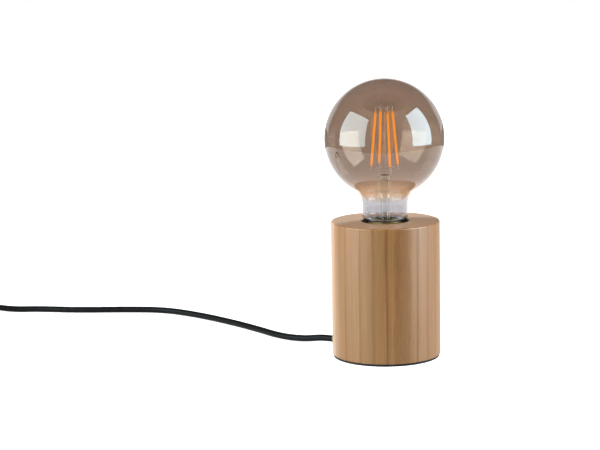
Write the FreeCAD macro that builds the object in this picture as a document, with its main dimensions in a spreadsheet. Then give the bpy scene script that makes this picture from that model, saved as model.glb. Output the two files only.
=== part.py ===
import FreeCAD, Part
import math
import operator
import os
import Sketcher
from types import SimpleNamespace
from FreeCAD import Placement, Rotation, Vector

# Bare bulb table lamp: a turned wood cylinder with a screw lampholder sunk in its top, a globe
# bulb with four straight filaments, and a round cord with an in-line rocker switch, a coil of
# spare cord and a flat two-pin plug.
# Millimetres. The origin is the centre of the pad's underside, +Z up, +X right, +Y to the back.
# Heights of the holder and the bulb are counted from the top of the wood, down or up.

SIZES = {
    # turned base
    "wood_radius": 43.5,
    "wood_height": 108.0,
    "edge_round": 1.2,
    "mouth_round": 0.8,
    "hole_radius": 19.0,
    "hole_depth": 58.0,
    "web_thickness": 10.0,
    "nipple_hole_radius": 5.3,
    "cavity_wall": 11.1,
    "rebate_wall": 3.9,
    "pad_inset": 0.9,
    "pad_thickness": 1.8,
    "plate_thickness": 1.5,
    "plate_gap": 0.2,
    "cover_screw_radius": 1.5,
    "cover_screw_head": 2.6,
    "cover_screw_length": 12.0,
    "pilot_gap": 0.05,
    # cord exit
    "exit_angle": 148.0,
    "exit_height": 7.0,
    "cord_radius": 2.7,
    "bushing_radius": 3.6,
    "bushing_gap": 0.05,
    "collar_radius": 5.0,
    "collar_thickness": 1.2,
    "relief_length": 7.5,
    "relief_tip_radius": 3.4,
    "bushing_inside": 2.5,
    "clamp_gap": 0.6,
    "clamp_width": 5.0,
    "clamp_span": 7.4,
    "clamp_sheet": 1.0,
    "clamp_foot": 2.8,
    "clamp_screw_radius": 1.3,
    "clamp_head_radius": 2.2,
    "clamp_head_height": 1.5,
    "flex_gap": 0.3,
    # lampholder
    "rim_drop": 4.5,
    "skirt_radius": 18.2,
    "holder_wall": 2.0,
    "holder_mouth": 14.4,
    "lip_thickness": 2.2,
    "skirt_height": 31.0,
    "dome_straight": 10.5,
    "dome_round": 10.0,
    "shell_bore": 13.5,
    "shell_wall": 0.5,
    "shell_height": 24.0,
    "shell_eye": 9.4,
    "insert_gap": 0.1,
    "insert_height": 8.6,
    "contact_spring_gap": 0.3,
    "strip_width": 5.0,
    "strip_thickness": 0.5,
    "strip_gap": 0.15,
    "strip_lap": 1.5,
    "terminal_side": 6.4,
    "terminal_height": 6.4,
    "terminal_offset": 8.4,
    "terminal_screw_radius": 1.25,
    "terminal_screw_length": 3.4,
    "terminal_screw_depth": 2.0,
    "nipple_radius": 4.95,
    "nipple_bore": 3.7,
    "nipple_above": 6.0,
    "nipple_below": 9.0,
    "washer_radius": 9.0,
    "washer_thickness": 1.2,
    "nut_radius": 8.1,
    "nut_thickness": 3.0,
    "core_radius": 1.1,
    # bulb
    "globe_radius": 47.5,
    "globe_rise": 67.0,
    "glass_wall": 0.9,
    "neck_radius": 18.4,
    "throat_round": 13.2,
    "shoulder_round": 5.2,
    "seal_radius": 11.9,
    "seal_depth": 8.0,
    "seat_drop": 0.4,
    "cap_radius": 13.15,
    "cap_wall": 0.5,
    "cap_height": 21.0,
    "cap_cone": 1.8,
    "cap_end_radius": 10.0,
    "contact_radius": 4.9,
    "contact_thickness": 0.9,
    "contact_gap": 0.25,
    "contact_pin": 2.9,
    "insulator_drop": 3.2,
    "stem_radius": 5.2,
    "stem_wall": 0.9,
    "stem_top": 33.0,
    "flare_top": 5.0,
    "flare_bottom": 5.6,
    "press_half_width": 5.7,
    "press_half_depth": 2.3,
    "press_top": 41.4,
    "rod_radius": 0.9,
    "rod_top": 88.8,
    "button_radius": 1.9,
    "wire_radius": 0.3,
    "filament_radius": 0.95,
    "filament_bottom": 43.8,
    "filament_top": 87.6,
    "filament_ring_low": 11.4,
    "filament_ring_high": 7.2,
    "filament_turn": 22.0,
    "tab_length": 2.4,
    "tab_radius": 0.42,
    "board_radius": 9.5,
    # in-line switch
    "switch_length": 60.0,
    "switch_width": 26.0,
    "switch_height": 17.0,
    "switch_corner": 10.0,
    "switch_wall": 1.8,
    "switch_edge": 2.5,
    "rocker_length": 18.8,
    "rocker_width": 10.4,
    "rocker_gap": 1.0,
    "rocker_side_gap": 0.4,
    "rocker_tilt": 8.0,
    "rocker_pivot_drop": 3.4,
    "rocker_crown": 3.4,
    "rocker_end_rise": 4.8,
    "rocker_depth": 2.4,
    "rocker_pin": 1.0,
    "pin_gap": 0.06,
    "lug_thickness": 1.4,
    "switch_screw_radius": 1.4,
    "switch_screw_head": 2.4,
    "switch_screw_length": 9.0,
    "switch_post_radius": 2.6,
    "switch_head_depth": 1.0,
    # coil of spare cord
    "coil_radius": 32.0,
    "coil_pitch": 6.0,
    "coil_turns": 3.0,
    # plug
    "plug_width": 35.3,
    "plug_thickness": 13.7,
    "plug_length": 35.0,
    "plug_straight": 12.0,
    "plug_tail_width": 15.0,
    "plug_edge": 1.6,
    "plug_relief": 26.0,
    "plug_relief_radius": 5.2,
    "plug_relief_tip": 3.7,
    "plug_rib_depth": 0.9,
    "pin_radius": 2.0,
    "pin_sleeve_radius": 1.9,
    "pin_core_radius": 1.4,
    "pin_length": 19.0,
    "pin_sleeve_length": 10.0,
    "pin_spacing": 18.6,
}

doc = FreeCAD.newDocument("bare_bulb_table_lamp")
sheet = doc.addObject("Spreadsheet::Sheet", "sizes")
for row, (alias, amount) in enumerate(SIZES.items(), start=1):
    sheet.set("A%d" % row, alias)
    sheet.set("B%d" % row, str(amount))
    sheet.setAlias("B%d" % row, alias)
doc.recompute()


# ---------------------------------------------------------------- sizes that carry a formula

SIGNS = {"+": operator.add, "-": operator.sub, "*": operator.mul, "/": operator.truediv}


class Size:
    """A number together with the formula of sheet cells that it comes from."""

    def __init__(self, amount, formula):
        self.amount = amount
        self.formula = formula

    def __float__(self):
        return self.amount

    def __add__(self, other):
        return joined(self, "+", other)

    def __radd__(self, other):
        return joined(other, "+", self)

    def __sub__(self, other):
        return joined(self, "-", other)

    def __rsub__(self, other):
        return joined(other, "-", self)

    def __mul__(self, other):
        return joined(self, "*", other)

    def __rmul__(self, other):
        return joined(other, "*", self)

    def __truediv__(self, other):
        return joined(self, "/", other)

    def __neg__(self):
        return joined(-1.0, "*", self)


def formula(thing):
    return thing.formula if isinstance(thing, Size) else repr(float(thing))


def joined(left, sign, right):
    amount = SIGNS[sign](float(left), float(right))
    return Size(amount, "(%s %s %s)" % (formula(left), sign, formula(right)))


def root(thing):
    return Size(math.sqrt(float(thing)), "sqrt(%s)" % formula(thing))


def cosine(angle):
    return Size(math.cos(math.radians(float(angle))), "cos(%s * 1 deg)" % formula(angle))


def sine(angle):
    return Size(math.sin(math.radians(float(angle))), "sin(%s * 1 deg)" % formula(angle))


s = SimpleNamespace(**{name: Size(float(sheet.get(name)), "sizes." + name) for name in SIZES})


# ---------------------------------------------------------------- drawing helpers

PIECES = {}


def bind(thing, prop, size):
    """Ties a property to the sheet, or sets it where it is a plain number."""
    if isinstance(size, Size):
        thing.setExpression(prop, size.formula)
    else:
        setattr(thing, prop, size)


def keep(name, thing):
    """Registers a finished piece under the name of its file."""
    thing.Label = name
    PIECES[name] = thing
    return thing


def stand(thing, x=0.0, y=0.0, z=0.0, yaw=0.0, pitch=0.0):
    """Places a piece: turned by pitch about Y, then by yaw about Z, then moved."""
    spot = "vector(%s; %s; %s)" % (formula(x), formula(y), formula(z))
    turn = "rotation(%s; %s; 0)" % (formula(yaw), formula(pitch))
    thing.setExpression("Placement", "placement(%s; %s)" % (spot, turn))
    return thing


def shape_of(kind, name, sizes, **place):
    """A Part primitive whose sizes and place are tied to the sheet."""
    thing = doc.addObject("Part::" + kind, name)
    for prop, size in sizes.items():
        bind(thing, prop, size)
    return stand(thing, **place)


def rod(name, radius, length, **place):
    return shape_of("Cylinder", name, {"Radius": radius, "Height": length}, **place)


def cone(name, low, high, length, **place):
    sizes = {"Radius1": low, "Radius2": high, "Height": length}
    return shape_of("Cone", name, sizes, **place)


def block(name, length, width, height, x, y, z, **turned):
    """A box centred on x and y that stands on z."""
    sizes = {"Length": length, "Width": width, "Height": height}
    return shape_of("Box", name, sizes, x=x - length / 2, y=y - width / 2, z=z, **turned)


def fused(name, *things):
    result = doc.addObject("Part::MultiFuse", name)
    result.Shapes = list(things)
    return result


def cut(name, base, *tools):
    result = doc.addObject("Part::Cut", name)
    result.Base = base
    result.Tool = tools[0] if len(tools) == 1 else fused(name + "_tools", *tools)
    return result


def group(name, *things):
    """Several separate solids that share one file."""
    result = doc.addObject("Part::Compound", name)
    result.Links = list(things)
    return result


def tube_ring(name, outer, inner, length, **place):
    """A plain ring: a cylinder with a bore all through it."""
    return cut(name, rod(name + "_outside", outer, length, **place),
               rod(name + "_bore", inner, length, **place))


def origin_plane(body, role):
    return [item for item in body.Origin.OriginFeatures if item.Role == role][0]


def sketch_on(body, name, role, offset=None):
    """A sketch on one of the body's own planes, moved along that plane's normal by offset."""
    sketch = body.newObject("Sketcher::SketchObject", name)
    sketch.AttachmentSupport = [(origin_plane(body, role), "")]
    sketch.MapMode = "FlatFace"
    if offset is not None:
        bind_offset = "placement(vector(0; 0; %s); rotation(0; 0; 0))" % formula(offset)
        sketch.setExpression("AttachmentOffset", bind_offset)
    return sketch


def arc_between(start, end, radius, side):
    """The short arc from start to end whose centre is on the left or the right of the way."""
    chord = end - start
    middle = (start + end) * 0.5
    rise = math.sqrt(max(radius * radius - chord.Length * chord.Length / 4, 0.0))
    left = Vector(-chord.y, chord.x, 0).normalize()
    centre = middle + left * (rise if side == "left" else -rise)
    first, last = (start, end) if side == "left" else (end, start)
    angles = [math.atan2(spot.y - centre.y, spot.x - centre.x) for spot in (first, last)]
    if angles[1] < angles[0]:
        angles[1] += 2 * math.pi
    return Part.ArcOfCircle(Part.Circle(centre, Vector(0, 0, 1), radius), angles[0], angles[1])


def tie_spot(sketch, piece, end, place):
    """Holds one end of a line at a place: on an axis where the place is 0, else by a distance."""
    for axis, kind, size in ((-2, "DistanceX", place[0]), (-1, "DistanceY", place[1])):
        if not isinstance(size, Size) and float(size) == 0.0:
            sketch.addConstraint(Sketcher.Constraint("PointOnObject", piece, end, axis))
            continue
        rule = Sketcher.Constraint(kind, -1, 1, piece, end, float(size))
        index = sketch.addConstraint(rule)
        sketch.setExpression("Constraints[%d]" % index, formula(size))


def closed_outline(sketch, corners):
    """Draws a closed outline. A corner is (x, y), reached by a straight side, or
    (x, y, radius, side), reached by an arc that turns about a centre on that side."""
    spots = [Vector(float(corner[0]), float(corner[1]), 0) for corner in corners]
    ends = []
    for index, corner in enumerate(corners):
        start, end = spots[index - 1], spots[index]
        if len(corner) == 2:
            piece = sketch.addGeometry(Part.LineSegment(start, end), False)
            ends.append((piece, 1, 2))
            continue
        piece = sketch.addGeometry(arc_between(start, end, float(corner[2]), corner[3]), False)
        ends.append((piece, 1, 2) if corner[3] == "left" else (piece, 2, 1))
        rule = sketch.addConstraint(Sketcher.Constraint("Radius", piece, float(corner[2])))
        sketch.setExpression("Constraints[%d]" % rule, formula(corner[2]))
    for index, corner in enumerate(corners):
        piece, _, last = ends[index]
        following, first, _ = ends[(index + 1) % len(ends)]
        sketch.addConstraint(Sketcher.Constraint("Coincident", piece, last, following, first))
        tie_spot(sketch, piece, last, corner)


def round_hole(sketch, x, y, radius):
    """Draws one circle and ties its centre and radius."""
    circle = Part.Circle(Vector(float(x), float(y), 0), Vector(0, 0, 1), float(radius))
    piece = sketch.addGeometry(circle, False)
    tie_spot(sketch, piece, 3, (x, y))
    rule = sketch.addConstraint(Sketcher.Constraint("Radius", piece, float(radius)))
    sketch.setExpression("Constraints[%d]" % rule, formula(radius))


def turned(name, corners, axis="V_Axis"):
    """A body turned from an outline of (radius, height) corners about its own Z axis."""
    body = doc.addObject("PartDesign::Body", name)
    sketch = sketch_on(body, name + "_outline", "XZ_Plane")
    closed_outline(sketch, corners)
    spin = body.newObject("PartDesign::Revolution", name + "_turning")
    spin.Profile = sketch
    spin.ReferenceAxis = (sketch, [axis])
    spin.Angle = 360
    return body


def padded(name, corners, length, role="XY_Plane", offset=None, midplane=False):
    """A body padded from an outline on one of its planes."""
    body = doc.addObject("PartDesign::Body", name)
    sketch = sketch_on(body, name + "_outline", role, offset)
    closed_outline(sketch, corners)
    pad = body.newObject("PartDesign::Pad", name + "_pad")
    pad.Profile = sketch
    if midplane:
        pad.SideType = "Symmetric"
    bind(pad, "Length", length)
    return body


def pocketed(body, name, role, draw, length, offset=None, away=True, midplane=False, flare=None):
    """Cuts a pocket that draw puts on a sketch; away cuts along the plane's own normal."""
    doc.recompute()
    before = body.Shape.Volume
    sketch = sketch_on(body, name + "_outline", role, offset)
    draw(sketch)
    pocket = body.newObject("PartDesign::Pocket", name)
    pocket.Profile = sketch
    bind(pocket, "Length", length)
    pocket.Reversed = away
    if midplane:
        pocket.SideType = "Symmetric"
    if flare is not None:
        bind(pocket, "TaperAngle", flare)
    body.Tip = pocket
    doc.recompute()
    if not body.Shape.Volume < before - 0.5:
        raise ValueError("%s cuts nothing" % name)
    return pocket


def around(body, name, features, count):
    """Repeats features evenly about the body's Z axis."""
    pattern = body.newObject("PartDesign::PolarPattern", name)
    pattern.Originals = features
    pattern.Axis = (origin_plane(body, "Z_Axis"), [""])
    pattern.Angle = 360
    pattern.Occurrences = count
    before = body.Shape.Volume
    body.Tip = pattern
    doc.recompute()
    if not body.Shape.Volume < before - 0.5:
        raise ValueError("%s cuts nothing" % name)
    return pattern


def rounded(body, name, radius, choose):
    """Rounds the edges of a body whose bounding box the choice accepts."""
    doc.recompute()
    edges = ["Edge%d" % index for index, edge in enumerate(body.Shape.Edges, start=1)
             if choose(edge.BoundBox)]
    before = body.Tip
    fillet = body.newObject("PartDesign::Fillet", name)
    fillet.Base = (before, edges)
    bind(fillet, "Radius", radius)
    body.Tip = fillet


def rectangle(length, width, x=0.0, y=0.0):
    """Corners of a rectangle centred on x, y, anticlockwise."""
    left, right = x - length / 2, x + length / 2
    low, high = y - width / 2, y + width / 2
    return [(right, low), (right, high), (left, high), (left, low)]


def rounded_rectangle(length, width, radius):
    """Corners of a centred rectangle whose corners are arcs, anticlockwise."""
    a, b = length / 2, width / 2
    inner_a, inner_b = a - radius, b - radius
    return [
        (inner_a, -b), (a, -inner_b, radius, "left"),
        (a, inner_b), (inner_a, b, radius, "left"),
        (-inner_a, b), (-a, inner_b, radius, "left"),
        (-a, -inner_b), (-inner_a, -b, radius, "left"),
    ]


# ---------------------------------------------------------------- tubes along a line

def arc_about(start, corner, end):
    """The arc that leaves start towards corner and reaches end from it, both equally far."""
    middle = (start + end) * 0.5
    half = (end - start).Length / 2
    reach = (corner - start).Length
    height = (corner - middle).Length
    bulge = half * (reach - half) / height
    top = middle + (corner - middle) * (bulge / height)
    return Part.Arc(start, top, end).toShape(), half * reach / height


def rounded_path(spots, share=0.45, tightest=None):
    """Straight runs joined by tangent arcs, each as large as its two runs allow."""
    edges, radii = [], []
    last = spots[0]
    for before, corner, after in zip(spots, spots[1:], spots[2:]):
        run = min((corner - before).Length, (after - corner).Length)
        first = corner + (before - corner).normalize() * (share * run)
        second = corner + (after - corner).normalize() * (share * run)
        edges.append(Part.LineSegment(last, first).toShape())
        arc, radius = arc_about(first, corner, second)
        edges.append(arc)
        radii.append(radius)
        last = second
    edges.append(Part.LineSegment(last, spots[-1]).toShape())
    return edges, radii


def swept(edges, radius):
    """A round tube along tangent edges."""
    path = Part.Wire(edges)
    start = edges[0].valueAt(edges[0].FirstParameter)
    along = edges[0].tangentAt(edges[0].FirstParameter)
    section = Part.Wire(Part.Circle(start, along, radius).toShape())
    solid = path.makePipeShell([section], True, False)
    return solid, path.Length


def tube(name, spots, radius, limit=None):
    """A piece of cord or wire through hand-set points, with its radii and length reported."""
    edges, radii = rounded_path([Vector(*[float(v) for v in spot]) for spot in spots])
    solid, length = swept(edges, float(radius))
    wanted = math.pi * float(radius) ** 2 * length
    if abs(solid.Volume - wanted) > 0.002 * wanted:
        raise ValueError("%s: volume %.1f, section times length %.1f" % (name, solid.Volume, wanted))
    tightest = min(radii) if radii else float("inf")
    if limit:
        print("%s: length %.1f, radii %s" % (name, length, " ".join("%.0f" % r for r in radii)))
        if tightest < limit * 2 * float(radius):
            print("%s: bend of %.1f is under %.0f diameters" % (name, tightest, limit))
    piece = doc.addObject("Part::Feature", name)
    piece.Shape = solid
    return piece


# ---------------------------------------------------------------- heights used by many pieces

pad_top = s.pad_thickness
wood_top = pad_top + s.wood_height
plate_top = pad_top + s.plate_thickness
web_top = wood_top - s.hole_depth
web_bottom = web_top - s.web_thickness
holder_rim = wood_top - s.rim_drop
skirt_bottom = holder_rim - s.skirt_height
shell_top = holder_rim - s.lip_thickness
shell_bottom = shell_top - s.shell_height
insert_top = shell_bottom
insert_bottom = insert_top - s.insert_height
terminal_bottom = insert_bottom - s.terminal_height
cavity_radius = s.wood_radius - s.cavity_wall
rebate_radius = s.wood_radius - s.rebate_wall
pad_radius = s.wood_radius - s.pad_inset
screw_circle = (cavity_radius + rebate_radius) / 2
live_slot = -s.terminal_offset + s.strip_thickness
neutral_slot = s.terminal_offset + s.terminal_side / 2 + s.strip_thickness / 2
exit_tip = s.wood_radius + s.relief_length
bushing_inner = cavity_radius - s.bushing_inside
clamp_radius = bushing_inner - s.clamp_gap - s.clamp_width / 2
flex_bend = clamp_radius - s.clamp_width / 2 - s.flex_gap


# ---------------------------------------------------------------- base

def make_base():
    foot = s.edge_round / 2
    wood = turned("wood_body", [
        (s.wood_radius - foot, pad_top),
        (s.wood_radius, pad_top + foot, foot, "left"),
        (s.wood_radius, wood_top - s.edge_round),
        (s.wood_radius - s.edge_round, wood_top, s.edge_round, "left"),
        (s.hole_radius + s.mouth_round, wood_top),
        (s.hole_radius, wood_top - s.mouth_round, s.mouth_round, "left"),
        (s.hole_radius, web_top),
        (s.nipple_hole_radius, web_top),
        (s.nipple_hole_radius, web_bottom),
        (cavity_radius, web_bottom),
        (cavity_radius, plate_top),
        (rebate_radius, plate_top),
        (rebate_radius, pad_top),
    ])
    pocketed(wood, "cord_hole", "YZ_Plane",
             lambda k: round_hole(k, 0.0, s.exit_height, s.bushing_radius + s.bushing_gap),
             s.wood_radius + s.collar_thickness)
    pilot = pocketed(wood, "pilot_hole", "XY_Plane",
                     lambda k: round_hole(k, 0.0, screw_circle, s.cover_screw_radius + s.pilot_gap),
                     s.cover_screw_length - s.plate_thickness, offset=plate_top)
    around(wood, "pilot_holes", [pilot], 3)
    stand(wood, yaw=s.exit_angle)
    keep("wood_body", wood)

    keep("base_pad", turned("base_pad", [
        (pad_radius, 0.0), (pad_radius, pad_top), (0.0, pad_top), (0.0, 0.0)]))

    plate_radius = rebate_radius - s.plate_gap
    head_height = s.cover_screw_head - s.cover_screw_radius
    plate = turned("cover_plate", [
        (plate_radius, pad_top), (plate_radius, plate_top), (0.0, plate_top), (0.0, pad_top)])
    hole = pocketed(plate, "plate_hole", "XY_Plane",
                    lambda k: round_hole(k, 0.0, screw_circle, s.cover_screw_radius + s.pilot_gap),
                    s.plate_thickness, offset=pad_top)
    sink = pocketed(plate, "plate_sink", "XY_Plane",
                    lambda k: round_hole(k, 0.0, screw_circle, s.cover_screw_head + s.pilot_gap),
                    head_height, offset=pad_top, flare=-45.0)
    around(plate, "plate_holes", [hole, sink], 3)
    pocketed(plate, "clamp_holes", "XY_Plane", draw_clamp_holes, s.plate_thickness,
             offset=pad_top)
    stand(plate, yaw=s.exit_angle)
    keep("cover_plate", plate)

    screws = []
    for number in range(3):
        angle = s.exit_angle + 90.0 + 120.0 * number
        x, y = screw_circle * cosine(angle), screw_circle * sine(angle)
        head = cone("cover_head_%d" % number, s.cover_screw_head, s.cover_screw_radius,
                    head_height, x=x, y=y, z=pad_top)
        shank = rod("cover_shank_%d" % number, s.cover_screw_radius, s.cover_screw_length - 0.5,
                    x=x, y=y, z=pad_top)
        screws.append(fused("cover_screw_%d" % number, head, shank))
    keep("cover_screws", group("cover_screws", *screws))


def draw_clamp_holes(sketch):
    for side in (-1.0, 1.0):
        round_hole(sketch, clamp_radius, s.clamp_span * side,
                   s.clamp_screw_radius + s.pilot_gap)


def make_cord_entry():
    # The bushing is turned about the cord's own line; its heights are distances from the lamp's
    # axis along that line.
    bore = s.cord_radius + s.bushing_gap
    collar = s.wood_radius + s.collar_thickness
    bushing = turned("cord_bushing", [
        (bore, bushing_inner),
        (s.bushing_radius, bushing_inner),
        (s.bushing_radius, s.wood_radius),
        (s.collar_radius, s.wood_radius),
        (s.collar_radius, collar),
        (s.bushing_radius + 0.5, collar + 0.5, 0.9, "left"),
        (s.relief_tip_radius, exit_tip),
        (bore, exit_tip),
    ])
    stand(bushing, z=s.exit_height, yaw=s.exit_angle, pitch=90.0)
    keep("cord_bushing", bushing)

    # The rubber pad lies under the cord, between the legs of the saddle.
    pad_width = s.clamp_span - s.clamp_sheet * 0.6
    clamp_pad = padded("clamp_pad", rectangle(s.clamp_width, pad_width, x=clamp_radius),
                       s.exit_height - s.cord_radius - plate_top, offset=plate_top)
    stand(clamp_pad, yaw=s.exit_angle)
    keep("clamp_pad", clamp_pad)

    # The saddle is a bent strip: two feet on the plate and an arch over the cord.
    grip = s.cord_radius + 0.1
    outer = grip + s.clamp_sheet
    foot = s.clamp_span + s.clamp_foot
    foot_top = plate_top + s.clamp_sheet
    knee = s.clamp_span / 2 + 0.3
    saddle = padded("clamp_saddle", [
        (foot, plate_top),
        (foot, foot_top),
        (knee + s.clamp_sheet, foot_top),
        (outer, s.exit_height),
        (0.0, s.exit_height + outer, outer, "left"),
        (-outer, s.exit_height, outer, "left"),
        (-knee - s.clamp_sheet, foot_top),
        (-foot, foot_top),
        (-foot, plate_top),
        (-knee, plate_top),
        (-grip, s.exit_height),
        (0.0, s.exit_height + grip, grip, "right"),
        (grip, s.exit_height, grip, "right"),
        (knee, plate_top),
    ], s.clamp_width, role="YZ_Plane", offset=clamp_radius - s.clamp_width / 2)
    pocketed(saddle, "saddle_holes", "XY_Plane", draw_clamp_holes,
             s.clamp_sheet + s.plate_thickness, offset=pad_top)
    stand(saddle, yaw=s.exit_angle)
    keep("clamp_saddle", saddle)

    screws = []
    for side, label in ((-1.0, "a"), (1.0, "b")):
        x = clamp_radius * cosine(s.exit_angle) - s.clamp_span * side * sine(s.exit_angle)
        y = clamp_radius * sine(s.exit_angle) + s.clamp_span * side * cosine(s.exit_angle)
        shank = rod("clamp_shank_" + label, s.clamp_screw_radius,
                    s.plate_thickness + s.clamp_sheet, x=x, y=y, z=pad_top)
        head = rod("clamp_head_" + label, s.clamp_head_radius, s.clamp_head_height,
                   x=x, y=y, z=foot_top)
        screws.append(fused("clamp_screw_" + label, shank, head))
    keep("clamp_screws", group("clamp_screws", *screws))


def radial(distance, side, height):
    """A point at a distance along the cord's way out of the base, moved sideways by side."""
    turn = math.radians(float(s.exit_angle))
    out, aside = float(distance), float(side)
    return (out * math.cos(turn) - aside * math.sin(turn),
            out * math.sin(turn) + aside * math.cos(turn), float(height))


def make_wiring():
    bend = float(flex_bend)
    level = float(s.exit_height)
    flex_top = float(web_top + 4.0)
    start = Vector(*radial(exit_tip, 0.0, level))
    turn_in = Vector(*radial(bend, 0.0, level))
    turn_out = Vector(0, 0, level + bend)
    corner = Vector(0, 0, level)
    arc, _ = arc_about(turn_in, corner, turn_out)
    edges = [Part.LineSegment(start, turn_in).toShape(), arc,
             Part.LineSegment(turn_out, Vector(0, 0, flex_top)).toShape()]
    solid, _ = swept(edges, float(s.cord_radius))
    flex = doc.addObject("Part::Feature", "inner_flex")
    flex.Shape = solid
    keep("inner_flex", flex)
    offset = float(s.terminal_offset)
    low = float(terminal_bottom)
    room = low - flex_top
    for name, side in (("core_live", -1.0), ("core_neutral", 1.0)):
        near = side * (float(s.core_radius) + 0.15)
        far = side * offset
        keep(name, tube(name, [
            (near, 0, flex_top),
            (near, 0, flex_top + 0.35 * room),
            (far, 0, flex_top + 0.62 * room),
            (far, 0, low + 2.2),
        ], s.core_radius))


# ---------------------------------------------------------------- lampholder

def make_holder_shells():
    inner = s.skirt_radius - s.holder_wall
    rim_round = 0.8
    keep("holder_skirt", turned("holder_skirt", [
        (s.skirt_radius, skirt_bottom),
        (s.skirt_radius, holder_rim - rim_round),
        (s.skirt_radius - rim_round, holder_rim, rim_round, "left"),
        (s.holder_mouth + rim_round, holder_rim),
        (s.holder_mouth, holder_rim - rim_round, rim_round, "left"),
        (s.holder_mouth, shell_top),
        (inner, shell_top),
        (inner, skirt_bottom),
    ]))
    dome_knee = skirt_bottom - s.dome_straight
    dome_low = dome_knee - s.dome_round
    inner_round = s.dome_round - s.holder_wall
    bore = s.nipple_radius + 0.05
    keep("holder_dome", turned("holder_dome", [
        (bore, web_top),
        (s.skirt_radius - s.dome_round, web_top),
        (s.skirt_radius - s.dome_round, dome_low),
        (s.skirt_radius, dome_knee, s.dome_round, "left"),
        (s.skirt_radius, skirt_bottom),
        (inner, skirt_bottom),
        (inner, dome_knee),
        (s.skirt_radius - s.dome_round, dome_low + s.holder_wall, inner_round, "right"),
        (bore, dome_low + s.holder_wall),
    ]))
    keep("screw_shell", turned("screw_shell", [
        (s.shell_eye, shell_bottom),
        (s.shell_bore + s.shell_wall, shell_bottom),
        (s.shell_bore + s.shell_wall, shell_top),
        (s.shell_bore, shell_top),
        (s.shell_bore, shell_bottom + s.shell_wall),
        (s.shell_eye, shell_bottom + s.shell_wall),
    ]))


def make_holder_contacts():
    insert_radius = s.skirt_radius - s.holder_wall - s.insert_gap
    insert = turned("contact_insert", [
        (insert_radius, insert_bottom), (insert_radius, insert_top),
        (0.0, insert_top), (0.0, insert_bottom)])
    pocketed(insert, "contact_slots", "XY_Plane", draw_slots, s.insert_height,
             offset=insert_bottom)
    keep("contact_insert", insert)

    # Centre contact: a strip that comes up through its slot and arches to just under the
    # bulb's tip. Its tail stands on the live terminal.
    half = s.strip_thickness / 2
    tip = contact_bottom - s.contact_spring_gap
    crown = 1.6
    strip_top = insert_top + s.strip_thickness
    keep("centre_contact", padded("centre_contact", [
        (live_slot - half, insert_bottom),
        (live_slot + half, insert_bottom),
        (live_slot + half, insert_top),
        (-s.contact_radius, insert_top),
        (-crown, tip - s.strip_thickness),
        (crown, tip - s.strip_thickness),
        (s.contact_radius, insert_top),
        (s.contact_radius + crown, insert_top),
        (s.contact_radius + crown, strip_top),
        (s.contact_radius, strip_top),
        (crown, tip),
        (-crown, tip),
        (-s.contact_radius, strip_top),
        (live_slot - half, strip_top),
    ], s.strip_width, role="XZ_Plane", midplane=True))

    # Side contact: a strip from the shell's flange down to the flank of the neutral terminal.
    keep("side_contact", padded("side_contact", [
        (neutral_slot - half, insert_bottom - s.strip_lap),
        (neutral_slot + half, insert_bottom - s.strip_lap),
        (neutral_slot + half, insert_top),
        (neutral_slot - half, insert_top),
    ], s.strip_width, role="XZ_Plane", midplane=True))

    screws = []
    for name, way in (("terminal_live", -1.0), ("terminal_neutral", 1.0)):
        size = s.terminal_side
        spot = s.terminal_offset * way
        body = block(name + "_block", size, size, s.terminal_height, spot, 0.0, terminal_bottom)
        wire_hole = rod(name + "_wire_hole", s.core_radius + 0.1, s.terminal_height / 2,
                        x=spot, z=terminal_bottom)
        start = (s.terminal_offset + size / 2 - s.terminal_screw_depth) * way
        level = terminal_bottom + s.terminal_height * 0.45
        run_out = s.terminal_screw_depth * 0.15
        screw_hole = rod(name + "_screw_hole", s.terminal_screw_radius + s.pilot_gap,
                         s.terminal_screw_depth + run_out, x=start - run_out * way, z=level,
                         pitch=90.0 * way)
        keep(name, cut(name, body, wire_hole, screw_hole))
        screws.append(rod(name + "_screw", s.terminal_screw_radius, s.terminal_screw_length,
                          x=start, z=level, pitch=90.0 * way))
    keep("terminal_screws", group("terminal_screws", *screws))


def draw_slots(sketch):
    """Two narrow slots, for the centre contact's tail and for the side contact."""
    for x in (live_slot, neutral_slot):
        closed_outline(sketch, rectangle(s.strip_thickness + s.strip_gap * 2,
                                         s.strip_width + s.strip_gap * 2, x=x))


def make_nipple():
    bottom = web_bottom - s.nipple_below
    length = s.nipple_below + s.web_thickness + s.nipple_above
    keep("threaded_nipple", tube_ring("threaded_nipple", s.nipple_radius, s.nipple_bore, length,
                                      z=bottom))
    washer_low = web_bottom - s.washer_thickness
    keep("nipple_washer", tube_ring("nipple_washer", s.washer_radius, s.nipple_radius + 0.25,
                                    s.washer_thickness, z=washer_low))
    nut_low = washer_low - s.nut_thickness
    prism = shape_of("Prism", "nut_hexagon", {"Circumradius": s.nut_radius,
                                              "Height": s.nut_thickness}, z=nut_low)
    prism.Polygon = 6
    keep("nipple_nut", cut("nipple_nut", prism, rod("nut_bore", s.nipple_radius + 0.05,
                                                    s.nut_thickness, z=nut_low)))


# ---------------------------------------------------------------- bulb

globe_centre = wood_top + s.globe_rise
seal_height = wood_top - s.seat_drop
shoulder_height = seal_height + s.shoulder_round
cap_rim = seal_height - 0.4
cap_bottom = cap_rim - s.cap_height
cone_bottom = cap_bottom - s.cap_cone
insulator_bottom = cone_bottom - s.insulator_drop
contact_top = insulator_bottom - s.contact_gap
contact_bottom = contact_top - s.contact_thickness


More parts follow.
